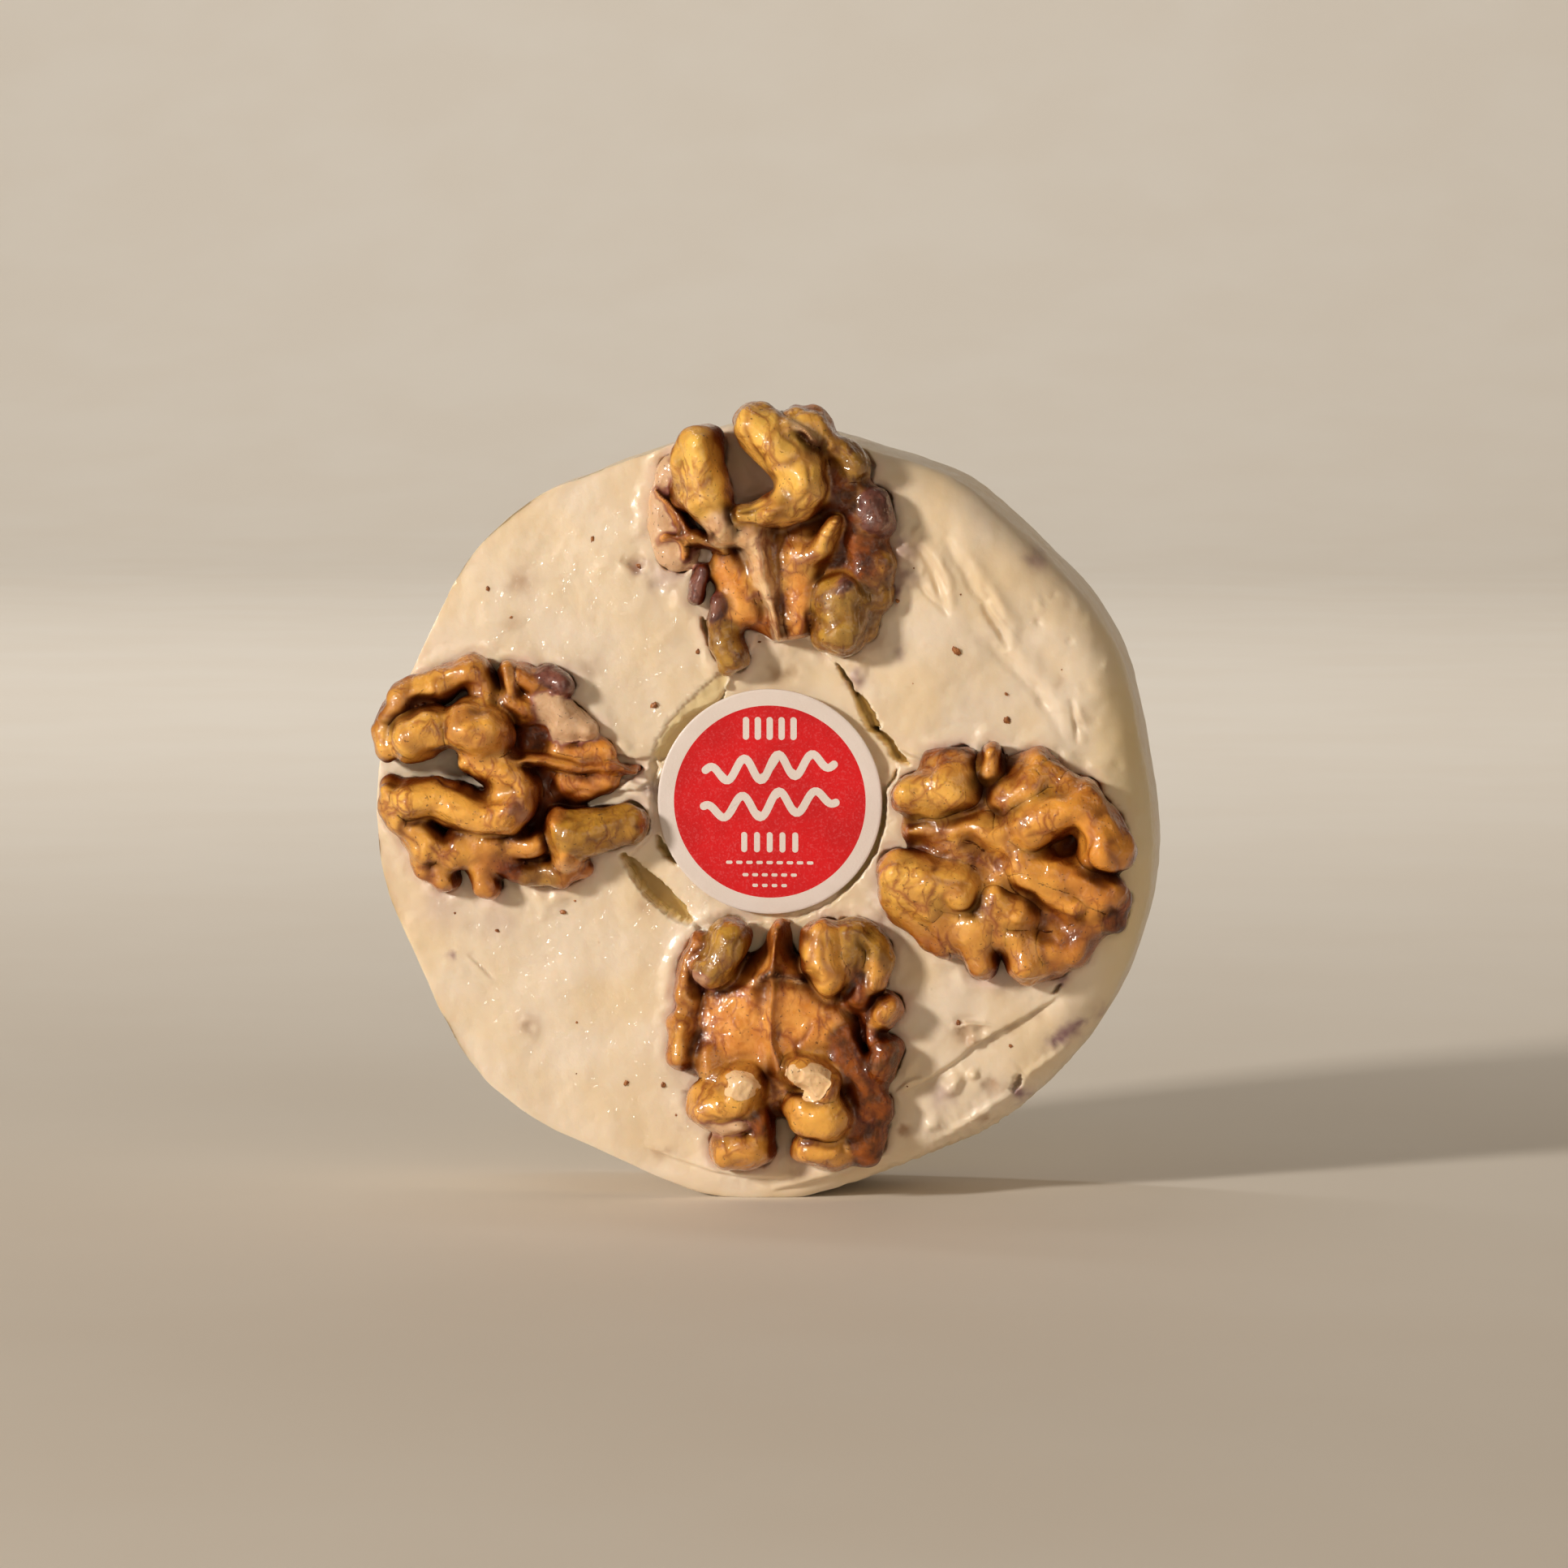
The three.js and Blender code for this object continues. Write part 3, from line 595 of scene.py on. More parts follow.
# The cheese: relief of its front face, all in millimetres from the wheel's axis
relief = {
    "ground": {
        "drop": 0.95,
        "outline": [
            (-0.2, 20.4), (1.5, 19.4), (3.2, 19.7), (4.2, 20.6), (5.7, 19.9), (9.0, 16.3), (10.4, 14.2),
            (11.6, 12.2), (12.7, 9.9), (14.5, 8.1), (15.6, 6.4), (15.4, 4.4), (14.3, 3.0), (13.9, -1.0),
            (13.2, -4.2), (11.0, -7.4), (8.0, -10.2), (3.0, -12.6), (-2.6, -12.6), (-7.0, -13.2),
            (-8.2, -12.2), (-9.8, -10.3), (-12.2, -7.4), (-14.9, -5.0), (-12.6, -2.6), (-12.4, 1.0),
            (-12.6, 5.6), (-11.6, 7.2), (-10.2, 9.4), (-8.2, 11.2), (-5.0, 12.6), (-3.8, 14.3), (-3.3, 15.9),
            (-1.6, 17.0),
        ],
    },
    # gaps in the paste: (half their width, depth, points)
    "rifts": [
        (0.3, 2.4, (8.6, 17.0), (9.9, 15.0), (10.7, 13.6)),
        (0.75, 3.4, (10.6, 13.8), (11.6, 12.2), (12.6, 10.2), (13.0, 9.3)),
        (0.5, 3.2, (12.8, 9.6), (14.4, 8.3), (15.4, 6.7), (16.8, 5.8)),
        (0.16, 1.2, (15.4, 5.0), (14.9, 3.8), (14.1, 2.9)),
        (1.15, 4.8, (-15.6, -5.0), (-13.6, -7.5), (-11.6, -9.4), (-9.7, -11.1), (-8.2, -12.3)),
        (0.35, 2.6, (-11.9, -2.6), (-11.2, -4.2), (-9.9, -5.9)),
        (0.5, 2.6, (-6.6, 22.0), (-5.5, 19.8), (-4.9, 17.6)),
        (0.28, 1.8, (33.2, -20.1), (34.0, -19.1)),
        (0.3, 2.2, (29.4, -29.6), (29.1, -30.6), (28.6, -31.3)),
    ],
    "labelGap": (0.3, 1.4, 6, -52),  # half width, depth, and the degrees that it runs between
    "crescent": {
        "edge": [
            (-12.5, 6.4), (-11.9, 8.2), (-10.3, 10.7), (-9.3, 11.8), (-6.6, 14.3), (-4.9, 15.8), (-4.0, 16.6),
        ],
        "inner": [(-3.6, 15.2), (-4.4, 12.9), (-7.6, 9.4), (-10.2, 6.6), (-11.4, 5.6)],
        "slope": 0.28,
        "depth": 2.0,
    },
    # shallow terraces: (height, points)
    "terraces": [
        (-0.7, (-17.6, 6.9), (-14.0, 6.1), (-12.4, 6.5), (-11.6, 5.0), (-12.4, 3.0), (-17.6, 4.4)),
        (0.75, (-17.0, 2.4), (-13.0, 4.9), (-12.6, 3.6), (-14.0, 2.6)),
    ],
    # knife strokes: (half width, depth, ridge beside it, its low side, points)
    "strokes": [
        (0.4, 0.35, 0.2, 1, (31.2, 24.7), (32.4, 23.3)),
        (
            1.5, 0.95, 0.2, 1,
            (33.9, -20.4), (31.1, -22.2), (28.5, -23.8), (26.0, -25.1), (23.7, -26.7), (21.5, -28.6),
        ),
        (1.3, 0.8, 0.15, 1, (22.4, -27.8), (18.9, -30.2), (15.6, -31.8)),
        (1.2, 0.6, 0.1, -1, (34.4, -26.2), (31.4, -28.2), (29.6, -29.6)),
        (1.2, 0.6, 0.1, -1, (29.0, -31.0), (27.0, -32.1), (23.7, -34.3), (20.0, -36.8)),
        (1.2, 0.6, 0.5, 1, (28.0, -33.6), (24.4, -36.4), (18.6, -39.0), (12.4, -41.2)),
        (0.7, 0.5, 0.45, -1, (-13.6, -38.2), (-6.5, -40.6), (0.0, -41.6), (4.0, -41.4)),
        (0.8, 0.5, 0.7, -1, (1.2, -43.2), (7.6, -41.4), (14.8, -38.9)),
        (0.5, 0.35, 0.15, 1, (-33.6, -16.4), (-30.6, -19.4)),
        (0.8, 0.5, 0.2, 1, (-16.0, 28.4), (-13.8, 27.6)),
        (0.5, 0.5, 0.3, 1, (15.4, -31.4), (16.8, -30.2), (18.4, -29.8)),
        (0.7, 0.7, 0.5, 1, (22.2, -24.0), (23.6, -23.4), (25.4, -23.6)),
        (0.8, 0.4, 0.3, 1, (12.2, 9.6), (17.0, 6.8), (22.8, 6.0)),
    ],
    "groove": 0.1,  # how much deeper a stroke is along its line
    "creaseShape": (0.34, 0.6),  # how wide a crease's groove and ridge are, against its half width
    # soft creases: (half width, depth, ridge on their right, points)
    "creases": [
        (1.6, 0.5, 0.3, (20.6, 31.6), (22.8, 27.9), (25.1, 24.1), (28.2, 19.9)),
        (0.9, 0.3, 0.2, (25.0, 26.1), (26.8, 23.1), (29.0, 20.2)),
        (1.7, 0.42, 0.3, (23.6, 21.2), (26.8, 18.3), (29.8, 15.4), (32.6, 11.9), (34.4, 8.2)),
        (1.1, 0.6, 0.4, (24.8, 23.8), (26.8, 21.2), (28.2, 18.6)),
        (1.2, 0.45, 0.35, (16.3, 31.8), (18.9, 28.7), (20.4, 24.6), (21.4, 22.4)),
        (0.9, 0.35, 0.25, (17.7, 26.4), (19.2, 24.6), (21.6, 22.5)),
        (0.8, 0.3, 0.25, (19.0, 29.2), (20.2, 27.3), (21.4, 25.0)),
        (0.8, 0.4, 0.3, (35.0, 13.4), (35.6, 10.6), (35.9, 8.0)),
    ],
    # rolls of pushed paste: (half width, height, points)
    "rolls": [
        (0.85, 0.75, (34.4, -26.9), (31.4, -28.4), (29.8, -29.4)),
        (1.0, 0.85, (28.7, -31.8), (26.4, -32.9), (23.4, -34.9), (20.0, -37.0)),
        (0.25, 0.4, (21.9, -24.0), (23.8, -23.3), (26.4, -23.9)),
        (0.3, 0.35, (24.4, -26.6), (25.8, -25.3), (28.2, -24.3)),
        (0.5, 0.4, (18.6, -35.6), (20.4, -35.2)),
    ],
    # lumps and dents: (right, up, radius, height)
    "lumps": [
        (21.6, -31.2, 0.9, 0.9), (22.2, -30.0, 0.6, 0.6), (24.3, -29.5, 0.55, 0.6), (19.8, -35.1, 1.0, 0.35),
        (23.2, -24.9, 0.8, -0.6), (25.0, -24.4, 0.7, -0.4), (24.2, -25.8, 0.5, 0.5), (26.1, -30.8, 0.8, -0.4),
        (16.6, -35.9, 0.7, -0.3), (25.4, -34.7, 0.5, -0.4), (-26.5, -24.6, 1.3, 0.25),
        (-26.5, -24.6, 0.6, -0.3), (-13.8, 28.0, 1.1, -0.35), (-13.3, 31.0, 1.0, -0.3),
        (-11.8, 25.9, 0.9, -0.4), (-10.6, 20.0, 1.0, 0.2), (16.2, 29.6, 1.5, 0.6), (17.0, 26.8, 1.1, 0.5),
        (16.6, 31.4, 1.0, 0.7), (15.9, 24.8, 0.8, 0.45), (10.9, 15.4, 0.9, 0.4), (11.5, 17.0, 0.7, 0.35),
        (-12.5, 3.2, 0.6, 0.35), (-12.3, 2.0, 0.5, 0.3), (1.6, 16.4, 0.9, -0.25), (3.6, 15.9, 0.8, -0.2),
        (12.6, -11.6, 1.4, 0.4), (14.2, -9.4, 1.0, 0.35), (-24.6, -10.4, 1.3, 0.4), (-23.0, -10.0, 0.8, 0.3),
        (31.0, 28.8, 0.9, -0.2), (33.6, -25.6, 0.9, -0.3), (37.4, 22.0, 0.8, 0.3), (39.0, 17.0, 0.6, 0.3),
    ],
    "swell": (11, 0.5),  # size and height of slow waves
    "ripple": (3.4, 0.13),
    "grit": (0.9, 0.03),
    "pits": {
        "count": 46,
        "right": (30, 43),
        "up": (-6, 26),
        "radius": (0.25, 0.6),
        "depth": (0.1, 0.3),
        "slant": (0.2, 0.9),
        "seed": 4,
    },
    "lip": (0.4, 0.9),  # height and width of the rim round each nut
    "underNut": -2.2,  # how deep the paste is pressed in under a nut
    "tear": (0.16, 0.12),  # how far torn edges wander, and how soft they are
    "wallLumps": (4.0, 0.16),
    "backWaves": (9, 0.2),
    "ragged": (1.0, 0.75, -55, 17),  # size, height, and degrees of direction and spread of the torn rim
}
cheeseBuild = {
    "across": 400,
    "shoulder": 20,
    "wall": 26,
    "backEdge": 5,
    "back": 12,
    "triangles": 196000,
    "seed": 7,
}


def faceLevel(x, y):
    slump = wheel["rimSlump"] * (np.hypot(x, y) / wheel["radius"]) ** 4
    return wheel["faceSwell"] * np.sin(x / 6 + 1) * np.cos(y / 7) - slump


def rimRadius(angle):
    full = np.full(len(angle), wheel["radius"])
    for direction, reach, narrowness in wheel["swells"]:
        full += reach * np.maximum(0, np.cos(angle - math.radians(direction))) ** narrowness
    nearness = full ** -wheel["flatCorners"]
    for direction, distance in wheel["flats"]:
        facing = np.maximum(0, np.cos(angle - math.radians(direction)))
        nearness += (facing / distance) ** wheel["flatCorners"]
    return nearness ** (-1 / wheel["flatCorners"])


def shoulderAt(angle):
    facing = (1 + np.cos(angle - math.radians(wheel["wornDirection"]))) / 2
    worn = smooth(0.3, 0.9, facing)
    return wheel["crispShoulder"] + (wheel["wornShoulder"] - wheel["crispShoulder"]) * worn


# How near each place is to the nuts: negative under a nut's folds
def fromNuts(places):
    gap = np.full(len(places), 9.0)
    for half in halves.values():
        local = places - half["middle"]
        for halfWidth, top, look, *points in half["folds"]:
            line = curveThrough(points, 4)
            near = closeTo(local, line, np.max(halfWidth) + 4)
            far, along, side = fromLine(local[near], line)
            gap[near] = np.minimum(gap[near], far - alongFold(halfWidth, along))
    return gap


# Which places are near a line, how far from it, how far along it and on which side
def nearLine(places, points, margin, torn=None):
    line = curveThrough(points)
    near = closeTo(places, line, margin)
    return near, *fromLine((places if torn is None else torn)[near], line)


def fadeEnds(along, margin, power):  # 1 along most of a line, and less towards its ends
    return np.sin(math.pi * np.clip(along, margin, 1 - margin)) ** power


def carve(level, places):
    seed = cheeseBuild["seed"]
    reach, soft = relief["tear"]
    torn = places + reach * np.column_stack([noise(places, 0.9, seed + k, 2) for k in (1, 2)])
    ground = relief["ground"]
    near = closeTo(places, ground["outline"], 1)
    level[near] -= ground["drop"] * smooth(-soft, soft, insideOf(torn[near], ground["outline"]))
    for height, *outline in relief["terraces"]:
        near = closeTo(places, outline, 1)
        level[near] += height * smooth(-soft, 0.15, insideOf(torn[near], outline))

    crescent = relief["crescent"]
    outline = [*crescent["edge"], *crescent["inner"]]
    near = closeTo(places, outline, 1)
    within = insideOf(torn[near], outline) > 0
    gap = fromLine(torn[near], np.array(crescent["edge"]))[0]
    drop = np.minimum(crescent["depth"], 0.3 + gap * crescent["slope"]) * within
    level[near] -= drop + within * 0.12 * noise(places[near], 1.2, seed + 3)

    for halfWidth, depth, *points in relief["rifts"]:
        near, gap, along, side = nearLine(places, points, halfWidth + 1, torn)
        width = halfWidth * (0.15 + 0.85 * fadeEnds(along, 0.02, 0.6))
        level[near] -= depth * smooth(width + soft, width - soft, gap)
    halfWidth, depth, start, end = relief["labelGap"]
    offset = places - labelDisc["middle"]
    angle = np.degrees(np.arctan2(offset[:, 1], offset[:, 0]))
    gap = np.abs(np.hypot(offset[:, 0], offset[:, 1]) - labelDisc["radius"] - halfWidth / 2)
    arc = smooth(end - 4, end + 4, angle) * smooth(start + 4, start - 4, angle)
    level -= depth * arc * smooth(halfWidth + soft, halfWidth - soft, gap)


def wave(level, places):
    seed = cheeseBuild["seed"]
    for halfWidth, depth, ridge, lowSide, *points in relief["strokes"]:
        near, gap, along, side = nearLine(places, points, halfWidth * 6)
        ends = fadeEnds(along, 0.001, 0.6)
        across = gap * side * lowSide + 0.1 * noise(places[near], 1.1, seed + 14)
        soft = 0.1 + 0.08 * halfWidth
        low = smooth(-soft, soft, across)
        level[near] -= depth * ends * low * np.exp(-np.maximum(across, 0) / halfWidth)
        level[near] += ridge * ends * (1 - low) * np.exp(-((across / (1.6 * halfWidth)) ** 2))
        level[near] -= relief["groove"] * ends * np.exp(-((across / soft) ** 2))
    grooveWidth, ridgeWidth = relief["creaseShape"]
    for halfWidth, depth, ridge, *points in relief["creases"]:
        near, gap, along, side = nearLine(places, points, halfWidth * 4)
        ends = fadeEnds(along, 0.001, 0.8)
        across = gap * side / halfWidth + 0.15 * noise(places[near], 1.6, seed + 18, 2)
        level[near] -= depth * ends * np.exp(-((across / grooveWidth) ** 2))
        level[near] += ridge * ends * np.exp(-(((across - 1) / ridgeWidth) ** 2))
    for halfWidth, height, *points in relief["rolls"]:
        near, gap, along, side = nearLine(places, points, halfWidth * 3)
        gap = gap / halfWidth * (1 + 0.5 * noise(places[near], 1.6, seed + 16, 2))
        level[near] += height * fadeEnds(along, 0.02, 0.5) * np.exp(-(gap**2))
    for x, y, radius, height in relief["lumps"]:
        near = closeTo(places, [(x, y)], radius * 3)
        offset = places[near] - (x, y)
        far = np.hypot(offset[:, 0], offset[:, 1]) / radius
        far *= 1 + 0.5 * noise(places[near], 1.2, seed + 12)
        level[near] += height * np.exp(-(far**2.4))
    pits = relief["pits"]
    draw = np.random.default_rng(pits["seed"])
    for _ in range(pits["count"]):
        x, y, radius, depth, slant = (
            draw.uniform(*pits[key]) for key in ("right", "up", "radius", "depth", "slant")
        )
        near = closeTo(places, [(x, y)], radius * 5)
        dx, dy = (places[near] - (x, y)).T
        along, across = (dy - slant * dx) / 1.6, dx + slant * dy
        level[near] -= depth * np.exp(-(along**2 + across**2) / radius**2)
    for key, shift in (("swell", 20), ("ripple", 24), ("grit", 28)):
        size, height = relief[key]
        level += height * noise(places, size, seed + shift, 2)


def frontLevel(places):
    level = faceLevel(*places.T)
    wave(level, places)
    gap = fromNuts(places) + 0.05 - 0.4 * noise(places, 2.2, cheeseBuild["seed"] + 34, 3)
    lipHeight, lipWidth = relief["lip"]
    uneven = 0.6 + 0.7 * noise(places, 3.4, cheeseBuild["seed"] + 30, 2)
    level += lipHeight * uneven * np.exp(-(((gap - lipWidth) / lipWidth) ** 2))
    carve(level, places)
    sunk = smooth(0.0, -0.5, gap)
    return level * (1 - sunk) + np.minimum(level, relief["underNut"]) * sunk


def buildCheese():
    steps = cheeseBuild["across"] // 1
    side = np.linspace(-1, 1, steps + 1)
    u, v = (part.ravel() for part in np.meshgrid(side, side))
    wide = np.abs(u) >= np.abs(v)
    reach = np.where(wide, u, v)
    safe = np.where(reach == 0, 1, reach)
    turn = np.where(wide, math.pi / 4 * v / safe, math.pi / 2 - math.pi / 4 * u / safe)
    x, y = reach * np.cos(turn), reach * np.sin(turn)
    angle = np.arctan2(y, x)
    span = np.hypot(x, y)
    flat = rimRadius(angle) - shoulderAt(angle)
    front = np.column_stack([span * flat * np.cos(angle), span * flat * np.sin(angle)])

    row = steps + 1
    edge = [*range(0, steps), *range(steps, row * row - 1, row)]
    edge += [*range(row * row - 1, row * steps, -1), *range(row * steps, 0, -row)]
    edge = np.array(edge)
    cell = (np.arange(steps)[:, None] * row + np.arange(steps)).ravel()
    faces = np.column_stack([cell, cell + 1, cell + row + 1, cell + row]).tolist()

    around = angle[edge]
    rim, shoulder = rimRadius(around), shoulderAt(around)
    thickness, backEdge = wheel["thickness"], wheel["backEdge"]
    direction = np.column_stack([np.cos(around), np.sin(around)])
    rings = []
    for k in range(1, cheeseBuild["shoulder"] + 1):
        tilt = k / cheeseBuild["shoulder"] * math.pi / 2
        radius, out = rim - shoulder * (1 - math.sin(tilt)), -shoulder * (1 - math.cos(tilt))
        rings.append((radius, out, math.cos(tilt)))
    for k in range(1, cheeseBuild["wall"] + 1):
        part = k / cheeseBuild["wall"]
        out = -shoulder + (shoulder - thickness + backEdge) * part
        rings.append((rim + wheel["wallBulge"] * math.sin(math.pi * part), out, 0))
    for k in range(1, cheeseBuild["backEdge"] + 1):
        tilt = k / cheeseBuild["backEdge"] * math.pi / 2
        out = -thickness + backEdge * (1 - math.sin(tilt))
        rings.append((rim - backEdge * (1 - math.cos(tilt)), np.full(len(rim), out), 0))
    for k in range(1, cheeseBuild["back"]):
        share = 1 - k / cheeseBuild["back"]
        rings.append(((rim - backEdge) * share, np.full(len(rim), -thickness), 0))

    level = frontLevel(front)
    places = [np.column_stack([front, level])]
    raggedSize, raggedHeight, raggedAt, spread = relief["ragged"]
    lumpSize, lumpHeight = relief["wallLumps"]
    waveSize, waveHeight = relief["backWaves"]
    away = (np.degrees(around) - raggedAt + 180) % 360 - 180
    tearing = raggedHeight * np.exp(-((away / spread) ** 2))
    for radius, out, faceShare in rings:
        flatPlace = direction * radius[:, None]
        solid = np.column_stack([flatPlace, out])
        onWall = 1 - faceShare
        bulge = lumpHeight * noise(solid, lumpSize, cheeseBuild["seed"] + 40, 2) * onWall
        nearFront = np.exp(-((out / 5) ** 2))
        bulge += tearing * nearFront * onWall * noise(solid, raggedSize, cheeseBuild["seed"] + 44, 2)
        outRelief = frontLevel(flatPlace) * faceShare if faceShare > 0 else 0
        atBack = out <= -thickness + 0.01
        backWave = waveHeight * noise(flatPlace, waveSize, cheeseBuild["seed"] + 50, 3) * atBack
        places.append(np.column_stack([flatPlace + direction * bulge[:, None], out + outRelief + backWave]))
    places = np.vstack([*places, [(0, 0, -thickness)]])

    count = len(edge)
    last = edge
    for k in range(len(rings)):
        ring = row * row + k * count + np.arange(count)
        faces += np.column_stack([last, ring, np.roll(ring, -1), np.roll(last, -1)]).tolist()
        last = ring
    middle = len(places) - 1
    faces += [(int(a), middle, int(b)) for a, b in zip(last, np.roll(last, -1))]
    places[:, 1] = np.maximum(places[:, 1], -wheel["footDrop"])

    mesh = bpy.data.meshes.new("cheese")
    mesh.from_pydata(places.tolist(), [], faces)
    piece = addObject("cheese", mesh)
    triangles = sum(len(face) - 2 for face in faces)
    if triangles > cheeseBuild["triangles"]:
        thin = piece.modifiers.new("thin", "DECIMATE")
        thin.ratio = cheeseBuild["triangles"] / triangles
    mesh = baked(piece, "cheese")
    paintCheese(mesh)
    setPlaces(mesh, toWorld(placesOf(mesh)))
    return mesh


# Spots of colour on the paste: (right, up, radius, strength). Most are stains; a few brown ones are painted
# shade
stains = {
    "plum": [
        (16.2, 29.8, 1.8, 0.5), (16.4, 27.0, 1.3, 0.5), (15.3, 25.4, 0.8, 0.8), (-11.0, 26.4, 1.6, 0.35),
        (-9.4, 27.2, 1.3, 0.4), (-13.8, 27.8, 0.8, 0.6), (31.0, 28.8, 1.1, 0.55),
        (36.0, -23.8, 0.7, 0.9), (35.4, -24.3, 0.8, 0.9), (34.7, -24.8, 0.8, 0.9),
        (34.0, -25.3, 0.8, 0.9), (33.3, -25.9, 0.7, 0.9), (29.4, -31.7, 0.9, 0.9), (34.1, -18.9, 0.7, 0.7),
        (-12.5, 2.6, 0.9, 0.5), (11.0, 15.3, 1.1, 0.6), (15.9, 18.3, 0.6, 0.4), (20.6, -32.0, 1.3, 0.45),
        (-35.4, -16.6, 0.5, 0.8), (27.6, -18.4, 1.6, 0.35), (25.2, -17.6, 1.2, 0.3), (-37.0, -11.0, 2.6, 0.3),
        (-30.0, -12.4, 2.2, 0.25), (-33.6, 14.6, 1.6, 0.25), (18.2, 3.8, 1.0, 0.35), (14.9, 1.0, 1.2, 0.2),
        (38.6, -22.6, 1.0, 0.4), (14.6, -16.4, 0.9, 0.3),
    ],
    "brown": [
        (-27.6, 26.1, 1.4, 0.5), (-19.3, 16.4, 1.2, 0.35), (-28.0, 21.3, 1.0, 0.3),
        (-14.0, 28.1, 1.1, 0.5), (-13.2, -10.6, 1.2, 0.4), (1.7, 15.9, 1.3, 0.5),
        (3.4, 16.0, 0.9, 0.4), (-26.5, -24.6, 1.2, 0.4), (23.4, -25.0, 1.5, 0.55), (22.4, -24.4, 0.9, 0.5),
        (26.1, -30.8, 0.9, 0.6), (25.4, -34.7, 0.6, 0.7), (16.6, -35.9, 0.6, 0.8), (13.2, 19.2, 1.6, 0.25),
        (12.4, 21.4, 1.0, 0.3), (-33.5, -13.3, 0.9, 0.2), (-12.0, -39.0, 0.9, 0.4), (-10.4, -38.6, 0.6, 0.4),
        (4.2, -41.2, 0.5, 0.4), (36.0, 4.0, 0.9, 0.5), (-8.8, -31.8, 0.4, 0.6), (33.6, 15.2, 0.6, 0.3),
        # The last three brown spots lie along the stepped cut at the lower right: painted shade below its
        # edge
        (1.4, 35.0, 2.0, 0.3), (31.2, -22.4, 0.8, 0.3), (28.6, -24.0, 0.8, 0.3), (26.2, -25.4, 0.8, 0.3),
    ],
}

tinting = {
    "wander": (1.4, 0.7),  # size and reach of the bends in the stains' edges
    "blushReach": 1.6,  # how far the paste is tinted round a nut
    "sunkDepth": (0.9, 2.6),  # between these depths the paste is painted a yellow shade
    "crescent": 0.75,  # how strongly the crescent's slope is painted with that yellow shade
    "yellowShadeSide": (34, 43, 0.5),  # where the right side is painted a yellow shade, and how much
    "wetSide": (4, -8),  # where the wet pimples on the left set in
}


def paintCheese(mesh):
    places = placesOf(mesh)
    flat = places[:, :2]
    bendSize, reach = tinting["wander"]
    wander = flat + reach * np.column_stack([noise(places, bendSize, k, 2) for k in (61, 62)])
    onFront = smooth(-8, -5, places[:, 2])
    for name, spots in stains.items():
        amount = np.zeros(len(places))
        for x, y, radius, strength in spots:
            far = np.hypot(wander[:, 0] - x, wander[:, 1] - y) / radius
            amount = np.maximum(amount, strength * np.exp(-(far**2)))
        giveValues(mesh, name, amount * onFront)
    gap = fromNuts(flat)
    uneven = 0.5 + 0.5 * noise(flat, 4, 71, 2)
    tint = np.exp(-((np.maximum(gap, 0) / tinting["blushReach"]) ** 2))
    giveValues(mesh, "nearNut", tint * uneven * onFront)
    # Painted shade: deep gaps, the crescent's slope and the right side take the yellow sunk colour
    below = faceLevel(*flat.T) - places[:, 2]
    away = np.hypot(*flat.T) / wheel["radius"]
    crescent = insideOf(flat, [*relief["crescent"]["edge"], *relief["crescent"]["inner"]])
    crescent = tinting["crescent"] * smooth(-0.1, 0.5, crescent)
    sunk = np.maximum(smooth(*tinting["sunkDepth"], below), crescent)
    start, end, strength = tinting["yellowShadeSide"]
    yellow = strength * smooth(start, end, flat[:, 0]) * onFront
    giveValues(mesh, "sunk", sunk * smooth(0.89, 0.87, away) + yellow)
    wet = smooth(*tinting["wetSide"], flat[:, 0]) * smooth(0.95, 0.8, away) * smooth(0.3, 2.2, gap)
    giveValues(mesh, "pimples", wet * onFront)


cheeseMesh = buildCheese()
print("cheese shaped:", len(cheeseMesh.polygons), "faces")


# Materials
def newNode(tree, kind, settings=None, **values):
    node = tree.nodes.new(kind)
    for name, value in (settings or {}).items():
        setattr(node, name, value)
    for name, value in values.items():
        socket = node.inputs[name.replace("_", " ")]
        if isinstance(value, bpy.types.NodeSocket):
            tree.links.new(value, socket)
        else:
            socket.default_value = value
    return node


def blendColours(tree, factor, one, two, mode="MIX"):
    node = tree.nodes.new("ShaderNodeMix")
    node.data_type, node.blend_type = "RGBA", mode
    for socket, value in ((node.inputs[0], factor), (node.inputs[6], one), (node.inputs[7], two)):
        if isinstance(value, bpy.types.NodeSocket):
            tree.links.new(value, socket)
        else:
            socket.default_value = value
    return node.outputs[2]


def calculate(tree, operation, one, two=0.0, three=0.0, clamp=False):
    node = tree.nodes.new("ShaderNodeMath")
    node.operation, node.use_clamp = operation, clamp
    for socket, value in zip(node.inputs, (one, two, three)):
        if isinstance(value, bpy.types.NodeSocket):
            tree.links.new(value, socket)
        else:
            socket.default_value = value
    return node.outputs[0]


def remap(tree, value, low, high, start=0.0, end=1.0):
    settings = {"interpolation_type": "SMOOTHSTEP"}
    node = newNode(tree, "ShaderNodeMapRange", settings, Value=value, From_Min=low, From_Max=high)
    node.inputs["To Min"].default_value = start
    node.inputs["To Max"].default_value = end
    return node.outputs[0]


def attribute(tree, name):
    return newNode(tree, "ShaderNodeAttribute", {"attribute_name": name}).outputs["Fac"]


def addInputs(tree, **sizes):
    for name, value in sizes.items():
        name = name.replace("_", " ")
        socket = tree.interface.new_socket(name, in_out="INPUT", socket_type="NodeSocketFloat")
        socket.default_value = value


def newGroup(name, outputs, **sizes):
    group = bpy.data.node_groups.new(name, "ShaderNodeTree")
    group.interface.new_socket("Place", in_out="INPUT", socket_type="NodeSocketVector")
    addInputs(group, **sizes)
    for output in outputs:
        group.interface.new_socket(output, in_out="OUTPUT", socket_type="NodeSocketFloat")
    return group, group.nodes.new("NodeGroupInput"), group.nodes.new("NodeGroupOutput")


